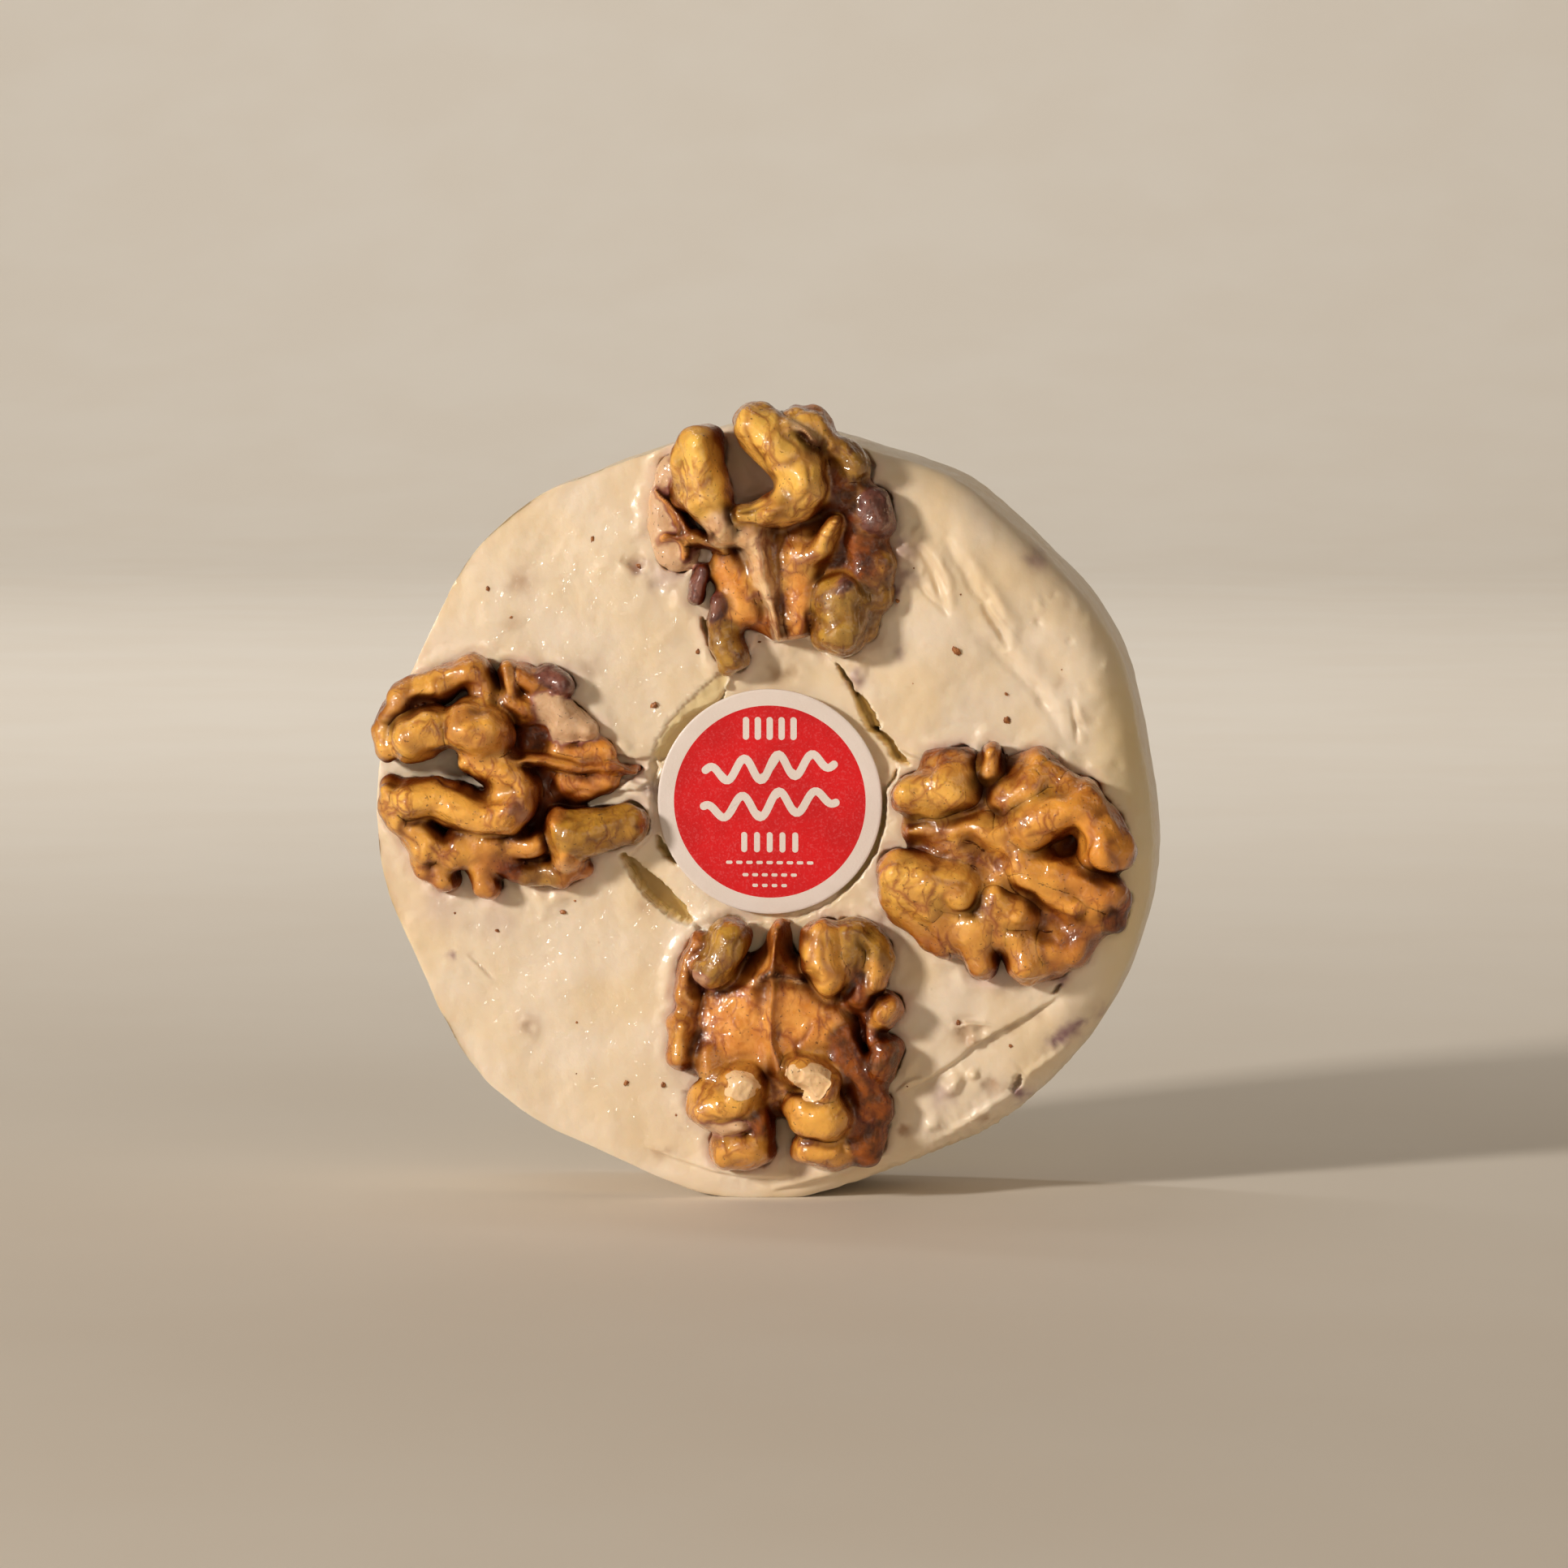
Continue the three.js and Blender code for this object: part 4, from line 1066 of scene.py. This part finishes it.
# Mottling: soft clouds and fine grain, as values from 0 to 1
def makeMottling():
    group, entry, leave = newGroup("mottling", ("Clouds", "Grain"), Cloud_size=4.0, Grain_size=0.4)
    place = entry.outputs["Place"]
    for name, size, detail in (("Clouds", "Cloud size", 3.0), ("Grain", "Grain size", 2.0)):
        scale = calculate(group, "DIVIDE", 1000.0, entry.outputs[size])
        pattern = newNode(group, "ShaderNodeTexNoise", Vector=place, Scale=scale, Detail=detail)
        value = remap(group, pattern.outputs["Fac"], 0.3, 0.7)
        group.links.new(value, leave.inputs[name])
    return group


# Veins: thin branching lines, from 0 to 1, that come and go
def makeVeins():
    group, entry, leave = newGroup("veins", ("Veins",), Spacing=3.0, Width=0.02)
    place = entry.outputs["Place"]
    bend = newNode(group, "ShaderNodeTexNoise", Vector=place, Scale=330.0, Detail=3.0)
    bent = group.nodes.new("ShaderNodeMix")
    bent.data_type, bent.blend_type = "RGBA", "LINEAR_LIGHT"
    bent.inputs[0].default_value = 0.0016
    group.links.new(place, bent.inputs[6])
    group.links.new(bend.outputs["Color"], bent.inputs[7])
    squeeze = newNode(group, "ShaderNodeMapping", Vector=bent.outputs[2], Scale=(1.0, 1.0, 0.55))
    scale = calculate(group, "DIVIDE", 1000.0, entry.outputs["Spacing"])
    settings = {"feature": "DISTANCE_TO_EDGE"}
    cells = newNode(group, "ShaderNodeTexVoronoi", settings, Vector=squeeze.outputs[0], Scale=scale)
    presence = newNode(group, "ShaderNodeTexNoise", Vector=place, Scale=260.0, Detail=2.0)
    shown = remap(group, presence.outputs["Fac"], 0.4, 0.6)
    width = calculate(group, "MULTIPLY", calculate(group, "ADD", shown, 0.3), entry.outputs["Width"])
    gap = calculate(group, "DIVIDE", cells.outputs["Distance"], width)
    line = calculate(group, "SUBTRACT", 1.0, gap, clamp=True)
    group.links.new(calculate(group, "MULTIPLY", line, shown), leave.inputs["Veins"])
    return group


mottling = makeMottling()
veins = makeVeins()


def useGroup(tree, group, place, **values):
    node = newNode(tree, "ShaderNodeGroup", {"node_tree": group}, Place=place)
    for name, value in values.items():
        node.inputs[name.replace("_", " ")].default_value = value
    return node


def newMaterial(name, **constants):
    material = bpy.data.materials.new(name)
    material.use_nodes = True
    tree = material.node_tree
    shader = tree.nodes["Principled BSDF"]
    for key, value in constants.items():
        shader.inputs[key.replace("_", " ")].default_value = value
    place = newNode(tree, "ShaderNodeTexCoord").outputs["Object"]
    return material, tree, shader, place


def bump(tree, shader, height, strength, distance, layers=("Normal", "Coat Normal")):
    node = newNode(tree, "ShaderNodeBump", Height=height, Strength=strength, Distance=distance)
    for name in layers:
        tree.links.new(node.outputs[0], shader.inputs[name])


cheeseFinish = {
    "cream": "ecdcc6",
    "butter": "e8d2af",
    # sunk is the yellow of the painted shade in gaps, on the crescent and on the right side
    "sunk": "ead39a",
    "plum": "8a6070",
    "brown": "9c6c40",
    "blush": "ecd0c0",
    "glow": (1.0, 0.7, 0.45),
    "glowDepth": 0.0009,
}


def makePaste():
    look = cheeseFinish
    material, tree, shader, place = newMaterial(
        "cheesePaste",
        Subsurface_Weight=0.4,
        Subsurface_Radius=look["glow"],
        Subsurface_Scale=look["glowDepth"],
        Specular_IOR_Level=0.5,
        Coat_Roughness=0.15,
    )
    spots = useGroup(tree, mottling, place, Cloud_size=9.0, Grain_size=0.55)
    colour = blendColours(tree, spots.outputs["Clouds"], paint(look["cream"]), paint(look["butter"]))
    blush = remap(tree, attribute(tree, "nearNut"), 0.1, 1.3)
    colour = blendColours(tree, blush, colour, paint(look["blush"]))
    # sunk paints a yellow shade; plum and brown are stains, a few of the brown ones painted shade
    for name in ("sunk", "plum", "brown"):
        colour = blendColours(tree, attribute(tree, name), colour, paint(look[name]))
    tree.links.new(colour, shader.inputs["Base Color"])
    rough = remap(tree, spots.outputs["Grain"], 0.0, 1.0, 0.34, 0.52)
    tree.links.new(rough, shader.inputs["Roughness"])
    wet = remap(tree, attribute(tree, "pimples"), 0.0, 1.0, 0.08, 0.65)
    tree.links.new(wet, shader.inputs["Coat Weight"])
    bubbles = newNode(tree, "ShaderNodeTexNoise", Vector=place, Scale=700.0, Detail=1.0, Distortion=0.3)
    pimple = remap(tree, bubbles.outputs["Fac"], 0.52, 0.66)
    pimple = calculate(tree, "MULTIPLY", pimple, attribute(tree, "pimples"))
    fine = newNode(tree, "ShaderNodeTexNoise", Vector=place, Scale=620.0, Detail=3.0)
    bump(tree, shader, fine.outputs["Fac"], 0.7, 0.0001, ["Normal"])
    height = calculate(tree, "MULTIPLY_ADD", pimple, 2.2, fine.outputs["Fac"])
    bump(tree, shader, height, 0.9, 0.0001, ["Coat Normal"])
    return material


walnutFinish = {
    # brownLight and goldenLight colour the tops that stand out furthest: partly the skin's paler tops, partly
    # painted light
    "brownLight": "ee9a30",
    "goldenLight": "ffcc60",
    "middle": "a8580e",
    # the colour of the painted shade on the flanks
    "flankShade": "963f02",
    # deep and shaded are painted shade, in tight creases and in wider hollows
    "deep": "220600",
    "shaded": "642402",
    "vein": "a1655a",  # multiplied with what it crosses
    "film": "dcb48c",
    "filmEdge": "965a50",
    "cut": "f4cf9e",
    "speck": "3a1a10",
    # each of these runs in patches between two colours, and covers the skin by so much
    "patches": {
        "sheet": ("ffb454", "e08a2c", 0.8),
        # the dark look: mostly painted shade, partly darker skin
        "dark": ("3c1002", "9c4c0c", 0.9),
        "olive": ("745008", "b88c2a", 0.75),
        "pale": ("f4d0a0", "e0ac74", 0.95),
        "plum": ("4c2230", "84504a", 0.92),
    },
}


def makeWalnut():
    look = walnutFinish
    material, tree, shader, place = newMaterial(
        "walnutSkin",
        Subsurface_Weight=0.15,
        Subsurface_Radius=(1.0, 0.4, 0.1),
        Subsurface_Scale=0.0012,
        Coat_Roughness=0.07,
    )
    spots = useGroup(tree, mottling, place, Cloud_size=3.2, Grain_size=0.3)
    large = useGroup(tree, veins, place, Spacing=4.6, Width=0.07)
    small = useGroup(tree, veins, place, Spacing=2.1, Width=0.09)
    golden = attribute(tree, "golden")
    light = blendColours(tree, golden, paint(look["brownLight"]), paint(look["goldenLight"]))
    # Painted light: the skin is lighter the further it stands out, partly its own paler tops and partly light
    # painted on them
    lit = remap(tree, attribute(tree, "height"), 0.2, 0.9, 0.0, 0.75)
    lit = calculate(tree, "ADD", lit, calculate(tree, "MULTIPLY", spots.outputs["Clouds"], 0.5), clamp=True)
    colour = blendColours(tree, lit, paint(look["middle"]), light)
    # Painted shade on the flanks that turn away from the front
    flankShade = calculate(tree, "MULTIPLY", attribute(tree, "flankShade"), 0.6)
    colour = blendColours(tree, flankShade, colour, paint(look["flankShade"]))
    patches = useGroup(tree, mottling, place, Cloud_size=1.7, Grain_size=0.3)
    for name, (one, two, strength) in look["patches"].items():
        share = remap(tree, attribute(tree, name), 0.25, 0.8, 0.0, strength)
        patchy = blendColours(tree, patches.outputs["Clouds"], paint(one), paint(two))
        colour = blendColours(tree, share, colour, patchy)
    faint = calculate(tree, "MULTIPLY", small.outputs["Veins"], 0.8)
    net = calculate(tree, "MAXIMUM", large.outputs["Veins"], faint)
    lines = calculate(tree, "MULTIPLY", attribute(tree, "wrinkle"), 0.7)
    drawn = calculate(tree, "MAXIMUM", net, lines, clamp=True)
    drawn = calculate(tree, "MULTIPLY", drawn, 0.8)
    colour = blendColours(tree, drawn, colour, paint(look["vein"]), "MULTIPLY")
    # Painted shade: darker in the hollows and darkest in tight creases
    shade = calculate(tree, "MULTIPLY", attribute(tree, "shade"), 0.88)
    colour = blendColours(tree, shade, colour, paint(look["shaded"]))
    crease = calculate(tree, "MULTIPLY", attribute(tree, "crease"), 0.92)
    colour = blendColours(tree, crease, colour, paint(look["deep"]))
    film = calculate(tree, "MULTIPLY_ADD", spots.outputs["Clouds"], 0.3, attribute(tree, "film"))
    colour = blendColours(tree, remap(tree, film, 0.3, 0.6, 0.0, 0.8), colour, paint(look["filmEdge"]))
    colour = blendColours(tree, remap(tree, film, 0.5, 0.95), colour, paint(look["film"]))
    cut = remap(tree, attribute(tree, "cut"), 0.35, 0.75)
    colour = blendColours(tree, cut, colour, paint(look["cut"]))
    dots = newNode(tree, "ShaderNodeTexNoise", Vector=place, Scale=2600.0, Detail=1.0)
    dots = remap(tree, dots.outputs["Fac"], 0.68, 0.74, 0.0, 0.6)
    colour = blendColours(tree, dots, colour, paint(look["speck"]))
    tree.links.new(colour, shader.inputs["Base Color"])
    rough = remap(tree, spots.outputs["Grain"], 0.0, 1.0, 0.3, 0.55)
    tree.links.new(rough, shader.inputs["Roughness"])
    # Less gloss where shade is painted, and on the dark, shaded patches
    hidden = calculate(tree, "MAXIMUM", attribute(tree, "shade"), attribute(tree, "crease"))
    hidden = calculate(tree, "MAXIMUM", hidden, calculate(tree, "MULTIPLY", attribute(tree, "dark"), 0.45))
    tree.links.new(remap(tree, hidden, 0.0, 0.9, 0.45, 0.08), shader.inputs["Specular IOR Level"])
    tree.links.new(remap(tree, hidden, 0.0, 0.9, 1.0, 0.03), shader.inputs["Coat Weight"])
    fine = newNode(tree, "ShaderNodeTexNoise", Vector=place, Scale=1300.0, Detail=6.0, Roughness=0.62)
    uneven = newNode(tree, "ShaderNodeTexNoise", Vector=place, Scale=560.0, Detail=2.0, Distortion=0.6)
    height = calculate(tree, "MULTIPLY_ADD", uneven.outputs["Fac"], 2.6, fine.outputs["Fac"])
    height = calculate(tree, "MULTIPLY_ADD", net, 0.25, height)
    bump(tree, shader, height, 0.6, 0.00013, ["Normal"])
    glints = newNode(tree, "ShaderNodeTexNoise", Vector=place, Scale=1500.0, Detail=1.5)
    height = calculate(tree, "MULTIPLY_ADD", uneven.outputs["Fac"], 4.0, glints.outputs["Fac"])
    bump(tree, shader, height, 0.8, 0.00014, ["Coat Normal"])
    return material


paste = makePaste()
walnut = makeWalnut()
print("materials mixed")


# The label: a red field inside a white rim, with plain bands and bars on it
labelBuild = {
    "spokes": 256,
    "redRings": 26,
    "rimRings": 6,
    "waviness": 0.04,
    "edgeRound": 0.06,
    "markRise": 0.012,  # how far the marks stand out
    "markDepth": 0.12,
}
labelMarks = {
    # up, length, height, period, width
    "waves": [(3.9, 14.6, 1.4, 3.9, 0.9), (-0.3, 15.0, 1.4, 4.2, 0.9)],
    # up, count, spacing, height, width
    "bars": [(8.3, 5, 1.35, 2.6, 0.75), (-4.6, 5, 1.45, 2.3, 0.7)],
    # up, count, spacing, length
    "dashes": [(-6.9, 9, 1.15, 0.75), (-8.3, 6, 1.1, 0.7), (-9.5, 4, 1.1, 0.65)],
    "dashWidth": 0.38,
    "rise": 0.1,  # how much the waves climb to the right
}
labelFinish = {
    "red": ("dd0a16", "cc0914"),
    "white": ("e9ded8", "e3d7cf"),
    "speck": "e8636a",
}


def labelWave(x, y):
    return labelBuild["waviness"] * noise(np.column_stack([x, y]), 6, 81, 2)


def buildLabel():
    spokes = labelBuild["spokes"]
    turn = np.linspace(0, 2 * math.pi, spokes, endpoint=False)
    inner = np.linspace(0, labelDisc["redRadius"], labelBuild["redRings"] + 1)[1:]
    outer = np.linspace(labelDisc["redRadius"], labelDisc["radius"], labelBuild["rimRings"] + 1)[1:]
    radii = np.concatenate([inner, outer])
    radii[-1] -= labelBuild["edgeRound"]
    front = labelDisc["proud"]
    rings = [(radius, front) for radius in radii]
    rings.append((labelDisc["radius"], front - labelBuild["edgeRound"]))
    rings.append((labelDisc["radius"], front - labelDisc["thickness"]))
    rings.append((labelDisc["radius"] * 0.5, front - labelDisc["thickness"]))
    places = [np.array([[0, 0, front + labelWave([0], [0])[0]]])]
    for radius, out in rings:
        x, y = radius * np.cos(turn), radius * np.sin(turn)
        lift = labelWave(x, y) if out > 0 else np.zeros(spokes)
        places.append(np.column_stack([x, y, out + lift]))
    places = np.vstack([*places, [(0, 0, front - labelDisc["thickness"])]])
    faces, fields = [], []
    for k in range(spokes):
        after = (k + 1) % spokes
        faces.append((0, 1 + k, 1 + after))
        fields.append(0)
        for ring in range(len(rings) - 1):
            a, b = 1 + ring * spokes, 1 + (ring + 1) * spokes
            faces.append((a + k, b + k, b + after, a + after))
            fields.append(0 if ring < labelBuild["redRings"] - 1 else 1)
        a = 1 + (len(rings) - 1) * spokes
        faces.append((a + k, len(places) - 1, a + after))
        fields.append(1)
    mesh = bpy.data.meshes.new("label")
    mesh.from_pydata(toWorld(places + (*labelDisc["middle"], 0)).tolist(), [], faces)
    return mesh, fields


# A flat stroke with round ends, laid on the label
def strokeShape(points, width):
    line = np.array(points, float)
    ahead = np.gradient(line, axis=0)
    ahead /= np.hypot(ahead[:, 0], ahead[:, 1])[:, None]
    side = np.column_stack([ahead[:, 1], -ahead[:, 0]]) * width / 2
    startTurn = np.linspace(math.pi, 2 * math.pi, 9)[1:-1]
    ring = [*(line + side)]
    for place, forward, out in ((line[-1], ahead[-1], side[-1]), (line[0], -ahead[0], -side[0])):
        for turn in startTurn:
            ring.append(place + out * -math.cos(turn) - forward * width / 2 * math.sin(turn))
        if len(ring) < 2 * len(line):
            ring += [*(line - side)[::-1]]
    return np.array(ring)


def buildMarks():
    outlines = []
    for up, length, height, period, width in labelMarks["waves"]:
        x = np.linspace(-length / 2, length / 2, 64)
        fade = np.sin(math.pi * np.linspace(0.04, 0.96, len(x))) ** 0.5
        y = up + labelMarks["rise"] * x + height * fade * np.sin(2 * math.pi * x / period)
        outlines.append(strokeShape(np.column_stack([x, y]), width))
    for up, count, spacing, height, width in labelMarks["bars"]:
        for k in range(count):
            x = (k - (count - 1) / 2) * spacing
            half = (height - width) / 2
            outlines.append(strokeShape([(x, up - half), (x, up + half)], width))
    for up, count, spacing, length in labelMarks["dashes"]:
        for k in range(count):
            x = (k - (count - 1) / 2) * spacing
            half = (length - labelMarks["dashWidth"]) / 2
            outlines.append(strokeShape([(x - half, up), (x + half, up)], labelMarks["dashWidth"]))
    places, faces, start = [], [], 0
    for outline in outlines:
        count = len(outline)
        top = labelDisc["proud"] + labelWave(*outline.T) + labelBuild["markRise"]
        for level in (top, top - labelBuild["markDepth"]):
            places.append(np.column_stack([outline, level]))
        faces.append(tuple(start + k for k in range(count)))
        faces.append(tuple(start + count + k for k in reversed(range(count))))
        for k in range(count):
            after = (k + 1) % count
            faces.append((start + k, start + count + k, start + count + after, start + after))
        start += 2 * count
    mesh = bpy.data.meshes.new("labelMarks")
    mesh.from_pydata(toWorld(np.vstack(places) + (*labelDisc["middle"], 0)).tolist(), [], faces)
    return mesh


def makePaper(name, colours, speckle):
    material, tree, shader, place = newMaterial(
        name,
        Specular_IOR_Level=0.45,
        Coat_Weight=0.1,
        Coat_Roughness=0.3,
    )
    spots = useGroup(tree, mottling, place, Cloud_size=5.0, Grain_size=0.22)
    colour = blendColours(tree, spots.outputs["Clouds"], *(paint(code) for code in colours))
    dots = remap(tree, spots.outputs["Grain"], 0.75, 1.0, 0.0, speckle)
    colour = blendColours(tree, dots, colour, paint(labelFinish["speck"]))
    tree.links.new(colour, shader.inputs["Base Color"])
    tree.links.new(remap(tree, spots.outputs["Grain"], 0.0, 1.0, 0.32, 0.5), shader.inputs["Roughness"])
    bump(tree, shader, spots.outputs["Grain"], 0.25, 0.00003)
    return material


redPaper = makePaper("redField", labelFinish["red"], 0.25)
whitePaper = makePaper("whiteRim", labelFinish["white"], 0.03)
labelMesh, labelFields = buildLabel()
paperLabel = finishPiece("paperLabel", labelMesh, [redPaper, whitePaper], ["label"])
labelMesh.polygons.foreach_set("material_index", labelFields)
finishPiece("labelMarks", buildMarks(), [whitePaper], rounded=False)
print("label printed")


# Walnut crumbs in the paste: (right, up, size) for those that are seen, and the rest drawn at random
crumbs = {
    "seen": [
        (22.3, 18.5, 0.55), (27.9, 10.8, 0.5), (27.8, 13.7, 0.3), (-19.1, 31.0, 0.35), (-13.9, 28.0, 0.35),
        (-31.1, 25.3, 0.25), (-12.1, 12.2, 0.4), (-7.1, 18.3, 0.3), (-22.6, -11.4, 0.4), (-30.2, -13.6, 0.25),
        (36.3, 4.4, 0.9), (35.6, 3.9, 0.6), (15.6, 24.2, 0.35), (23.6, -8.8, 0.25), (22.5, -23.6, 0.3),
        (28.4, -26.2, 0.3), (-15.4, -30.9, 0.3), (-11.1, -31.0, 0.35), (8.6, -39.2, 0.25), (13.4, 22.9, 0.25),
    ],
    "random": 14,
    "randomSize": (0.08, 0.2),
    "reach": 39,  # the random ones lie this near to the axis
    "offLabel": 14,  # this far from the label's middle
    "offNut": 0.8,  # and this far from a nut
    "sunk": 0.15,
    "unevenness": 1.6,
    "colours": ("b8763c", "7c4418"),
    "seed": 33,
}


def crumbNodes():
    tree = bpy.data.node_groups.new("crumbScatter", "GeometryNodeTree")
    tree.interface.new_socket("Geometry", in_out="INPUT", socket_type="NodeSocketGeometry")
    addInputs(tree, Size=0.001, Unevenness=0.5)
    seed = tree.interface.new_socket("Seed", in_out="INPUT", socket_type="NodeSocketInt")
    seed.default_value = 1
    tree.interface.new_socket("Finish", in_out="INPUT", socket_type="NodeSocketMaterial")
    tree.interface.new_socket("Geometry", in_out="OUTPUT", socket_type="NodeSocketGeometry")
    entry, leave = tree.nodes.new("NodeGroupInput"), tree.nodes.new("NodeGroupOutput")
    crumb = newNode(tree, "GeometryNodeMeshIcoSphere", Radius=1.0, Subdivisions=3)
    vectors, seed = {"data_type": "FLOAT_VECTOR"}, entry.outputs["Seed"]
    turn = newNode(tree, "FunctionNodeRandomValue", vectors, Seed=seed)
    turn.inputs[1].default_value = (6.28, 6.28, 6.28)
    stretch = newNode(tree, "FunctionNodeRandomValue", vectors, Seed=seed)
    stretch.inputs[0].default_value = (0.7, 0.5, 0.6)
    stretch.inputs[1].default_value = (1.3, 0.9, 1.1)
    own = newNode(tree, "GeometryNodeInputNamedAttribute", {"data_type": "FLOAT"}, Name="size")
    length = calculate(tree, "MULTIPLY", own.outputs[0], entry.outputs["Size"])
    scale = newNode(tree, "ShaderNodeVectorMath", {"operation": "SCALE"})
    tree.links.new(stretch.outputs[0], scale.inputs[0])
    tree.links.new(length, scale.inputs["Scale"])
    rough = newNode(tree, "ShaderNodeTexNoise", Scale=1.7, Detail=2.0)
    centred = calculate(tree, "SUBTRACT", rough.outputs[0], 0.5)
    swing = calculate(tree, "MULTIPLY", centred, entry.outputs["Unevenness"])
    push = newNode(tree, "ShaderNodeVectorMath", {"operation": "SCALE"})
    tree.links.new(tree.nodes.new("GeometryNodeInputNormal").outputs[0], push.inputs[0])
    tree.links.new(swing, push.inputs["Scale"])
    uneven = newNode(tree, "GeometryNodeSetPosition", Geometry=crumb.outputs["Mesh"], Offset=push.outputs[0])
    placed = newNode(
        tree,
        "GeometryNodeInstanceOnPoints",
        Points=entry.outputs["Geometry"],
        Instance=uneven.outputs[0],
        Rotation=turn.outputs[0],
        Scale=scale.outputs[0],
    )
    real = newNode(tree, "GeometryNodeRealizeInstances", Geometry=placed.outputs[0])
    finish = entry.outputs["Finish"]
    coloured = newNode(tree, "GeometryNodeSetMaterial", Geometry=real.outputs[0], Material=finish)
    tree.links.new(coloured.outputs[0], leave.inputs[0])
    return tree


def socketOf(tree, name):
    inputs = (item for item in tree.interface.items_tree if item.in_out == "INPUT")
    return next(item.identifier for item in inputs if item.name == name)


def makeCrumbSkin():
    material, tree, shader, place = newMaterial("crumbSkin", Coat_Weight=0.3, Coat_Roughness=0.25)
    spots = useGroup(tree, mottling, place, Cloud_size=0.8, Grain_size=0.2)
    colour = blendColours(tree, spots.outputs["Clouds"], *(paint(code) for code in crumbs["colours"]))
    tree.links.new(colour, shader.inputs["Base Color"])
    tree.links.new(remap(tree, spots.outputs["Grain"], 0.0, 1.0, 0.35, 0.6), shader.inputs["Roughness"])
    bump(tree, shader, spots.outputs["Grain"], 0.5, 0.00008)
    return material


def buildCrumbs():
    draw = np.random.default_rng(crumbs["seed"])
    spots = list(crumbs["seen"])
    while len(spots) < len(crumbs["seen"]) + crumbs["random"]:
        turn, far = draw.uniform(0, 2 * math.pi), crumbs["reach"] * math.sqrt(draw.uniform(0, 1))
        x, y, size = far * math.cos(turn), far * math.sin(turn), draw.uniform(*crumbs["randomSize"])
        offLabel = math.dist((x, y), labelDisc["middle"]) > crumbs["offLabel"]
        if offLabel and fromNuts(np.array([(x, y)]))[0] > crumbs["offNut"]:
            spots.append((x, y, size))
    flat = np.array(spots)
    level = frontLevel(flat[:, :2]) - crumbs["sunk"] * flat[:, 2]
    mesh = bpy.data.meshes.new("crumbPoints")
    mesh.from_pydata(toWorld(np.column_stack([flat[:, :2], level])).tolist(), [], [])
    giveValues(mesh, "size", flat[:, 2])
    piece = addObject("crumbPoints", mesh)
    tree = crumbNodes()
    scatter = piece.modifiers.new("scatter", "NODES")
    scatter.node_group = tree
    values = {"Size": 0.001, "Unevenness": crumbs["unevenness"], "Seed": crumbs["seed"], "Finish": crumbSkin}
    for name, value in values.items():
        scatter[socketOf(tree, name)] = value
    mesh = baked(piece, "walnutCrumbs")
    mesh.polygons.foreach_set("material_index", np.zeros(len(mesh.polygons), dtype=np.int32))
    return mesh


crumbSkin = makeCrumbSkin()
finishPiece("walnutCrumbs", buildCrumbs(), [crumbSkin])
finishPiece("cheeseWheel", cheeseMesh, [paste], ["cheese"])
for nodeName, halfMesh in halfMeshes.items():
    finishPiece("walnut" + nodeName.split("_")[1].capitalize(), halfMesh, [walnut], [nodeName])
print("pieces in place")

# Studio: pale floor, one soft key from the upper left, a weak fill, and a light on the backdrop
studio = {
    "floor": ("e4dcd0", "e6dfd4"),
    "world": ("f0d8b8", 0.14),
    "key": {"at": (-0.86, -0.82, 0.42), "size": 0.15, "watts": 13.2, "colour": (1.0, 0.92, 0.83)},
    "fill": {"at": (0.7, -1.0, 0.5), "size": 0.9, "watts": 2.4, "colour": (1.0, 0.86, 0.7)},
    "backdrop": {
        "at": (-0.5, 0.5, 1.4),
        "size": 1.2,
        "watts": 25,
        "aim": (0.4, 3, 0.6),
        "colour": (1, 0.98, 0.95),
    },
    "aim": (0, 0, 0.044),  # where the other lights point
    "sweep": {"front": -3.0, "back": 1.6, "radius": 0.9, "height": 4.0, "half": 4.0},  # metres
}


def addLight(name):
    settings = studio[name]
    lamp = bpy.data.lights.new(name, "AREA")
    lamp.size, lamp.energy, lamp.color = settings["size"], settings["watts"], settings["colour"]
    light = addObject(name, lamp)
    light.location = settings["at"]
    aim = Vector(settings.get("aim", studio["aim"]))
    light.rotation_euler = (Vector(settings["at"]) - aim).to_track_quat("Z", "Y").to_euler()


def makeStudio():
    sweep = studio["sweep"]
    bend = [
        (sweep["back"] + sweep["radius"] * math.sin(turn), sweep["radius"] * (1 - math.cos(turn)))
        for turn in np.linspace(0, math.pi / 2, 25)
    ]
    profile = [(sweep["front"], 0), *bend, (bend[-1][0], sweep["height"])]
    places = [(x, y, z) for y, z in profile for x in (-sweep["half"], sweep["half"])]
    faces = [(2 * k, 2 * k + 1, 2 * k + 3, 2 * k + 2) for k in range(len(profile) - 1)]
    mesh = bpy.data.meshes.new("floor")
    mesh.from_pydata(places, [], faces)
    mesh.shade_smooth()
    floor = addObject("floor", mesh)
    material, tree, shader, place = newMaterial("floorPaint", Roughness=0.7)
    spots = useGroup(tree, mottling, place, Cloud_size=60.0, Grain_size=2.0)
    colour = blendColours(tree, spots.outputs["Clouds"], *(paint(code) for code in studio["floor"]))
    tree.links.new(colour, shader.inputs["Base Color"])
    mesh.materials.append(material)
    world = bpy.data.worlds.new("studio")
    bpy.context.scene.world = world
    world.use_nodes = True
    light = world.node_tree.nodes["Background"]
    light.inputs["Color"].default_value = paint(studio["world"][0])
    light.inputs["Strength"].default_value = studio["world"][1]
    for name in ("key", "fill", "backdrop"):
        addLight(name)


makeStudio()
print("studio lit")
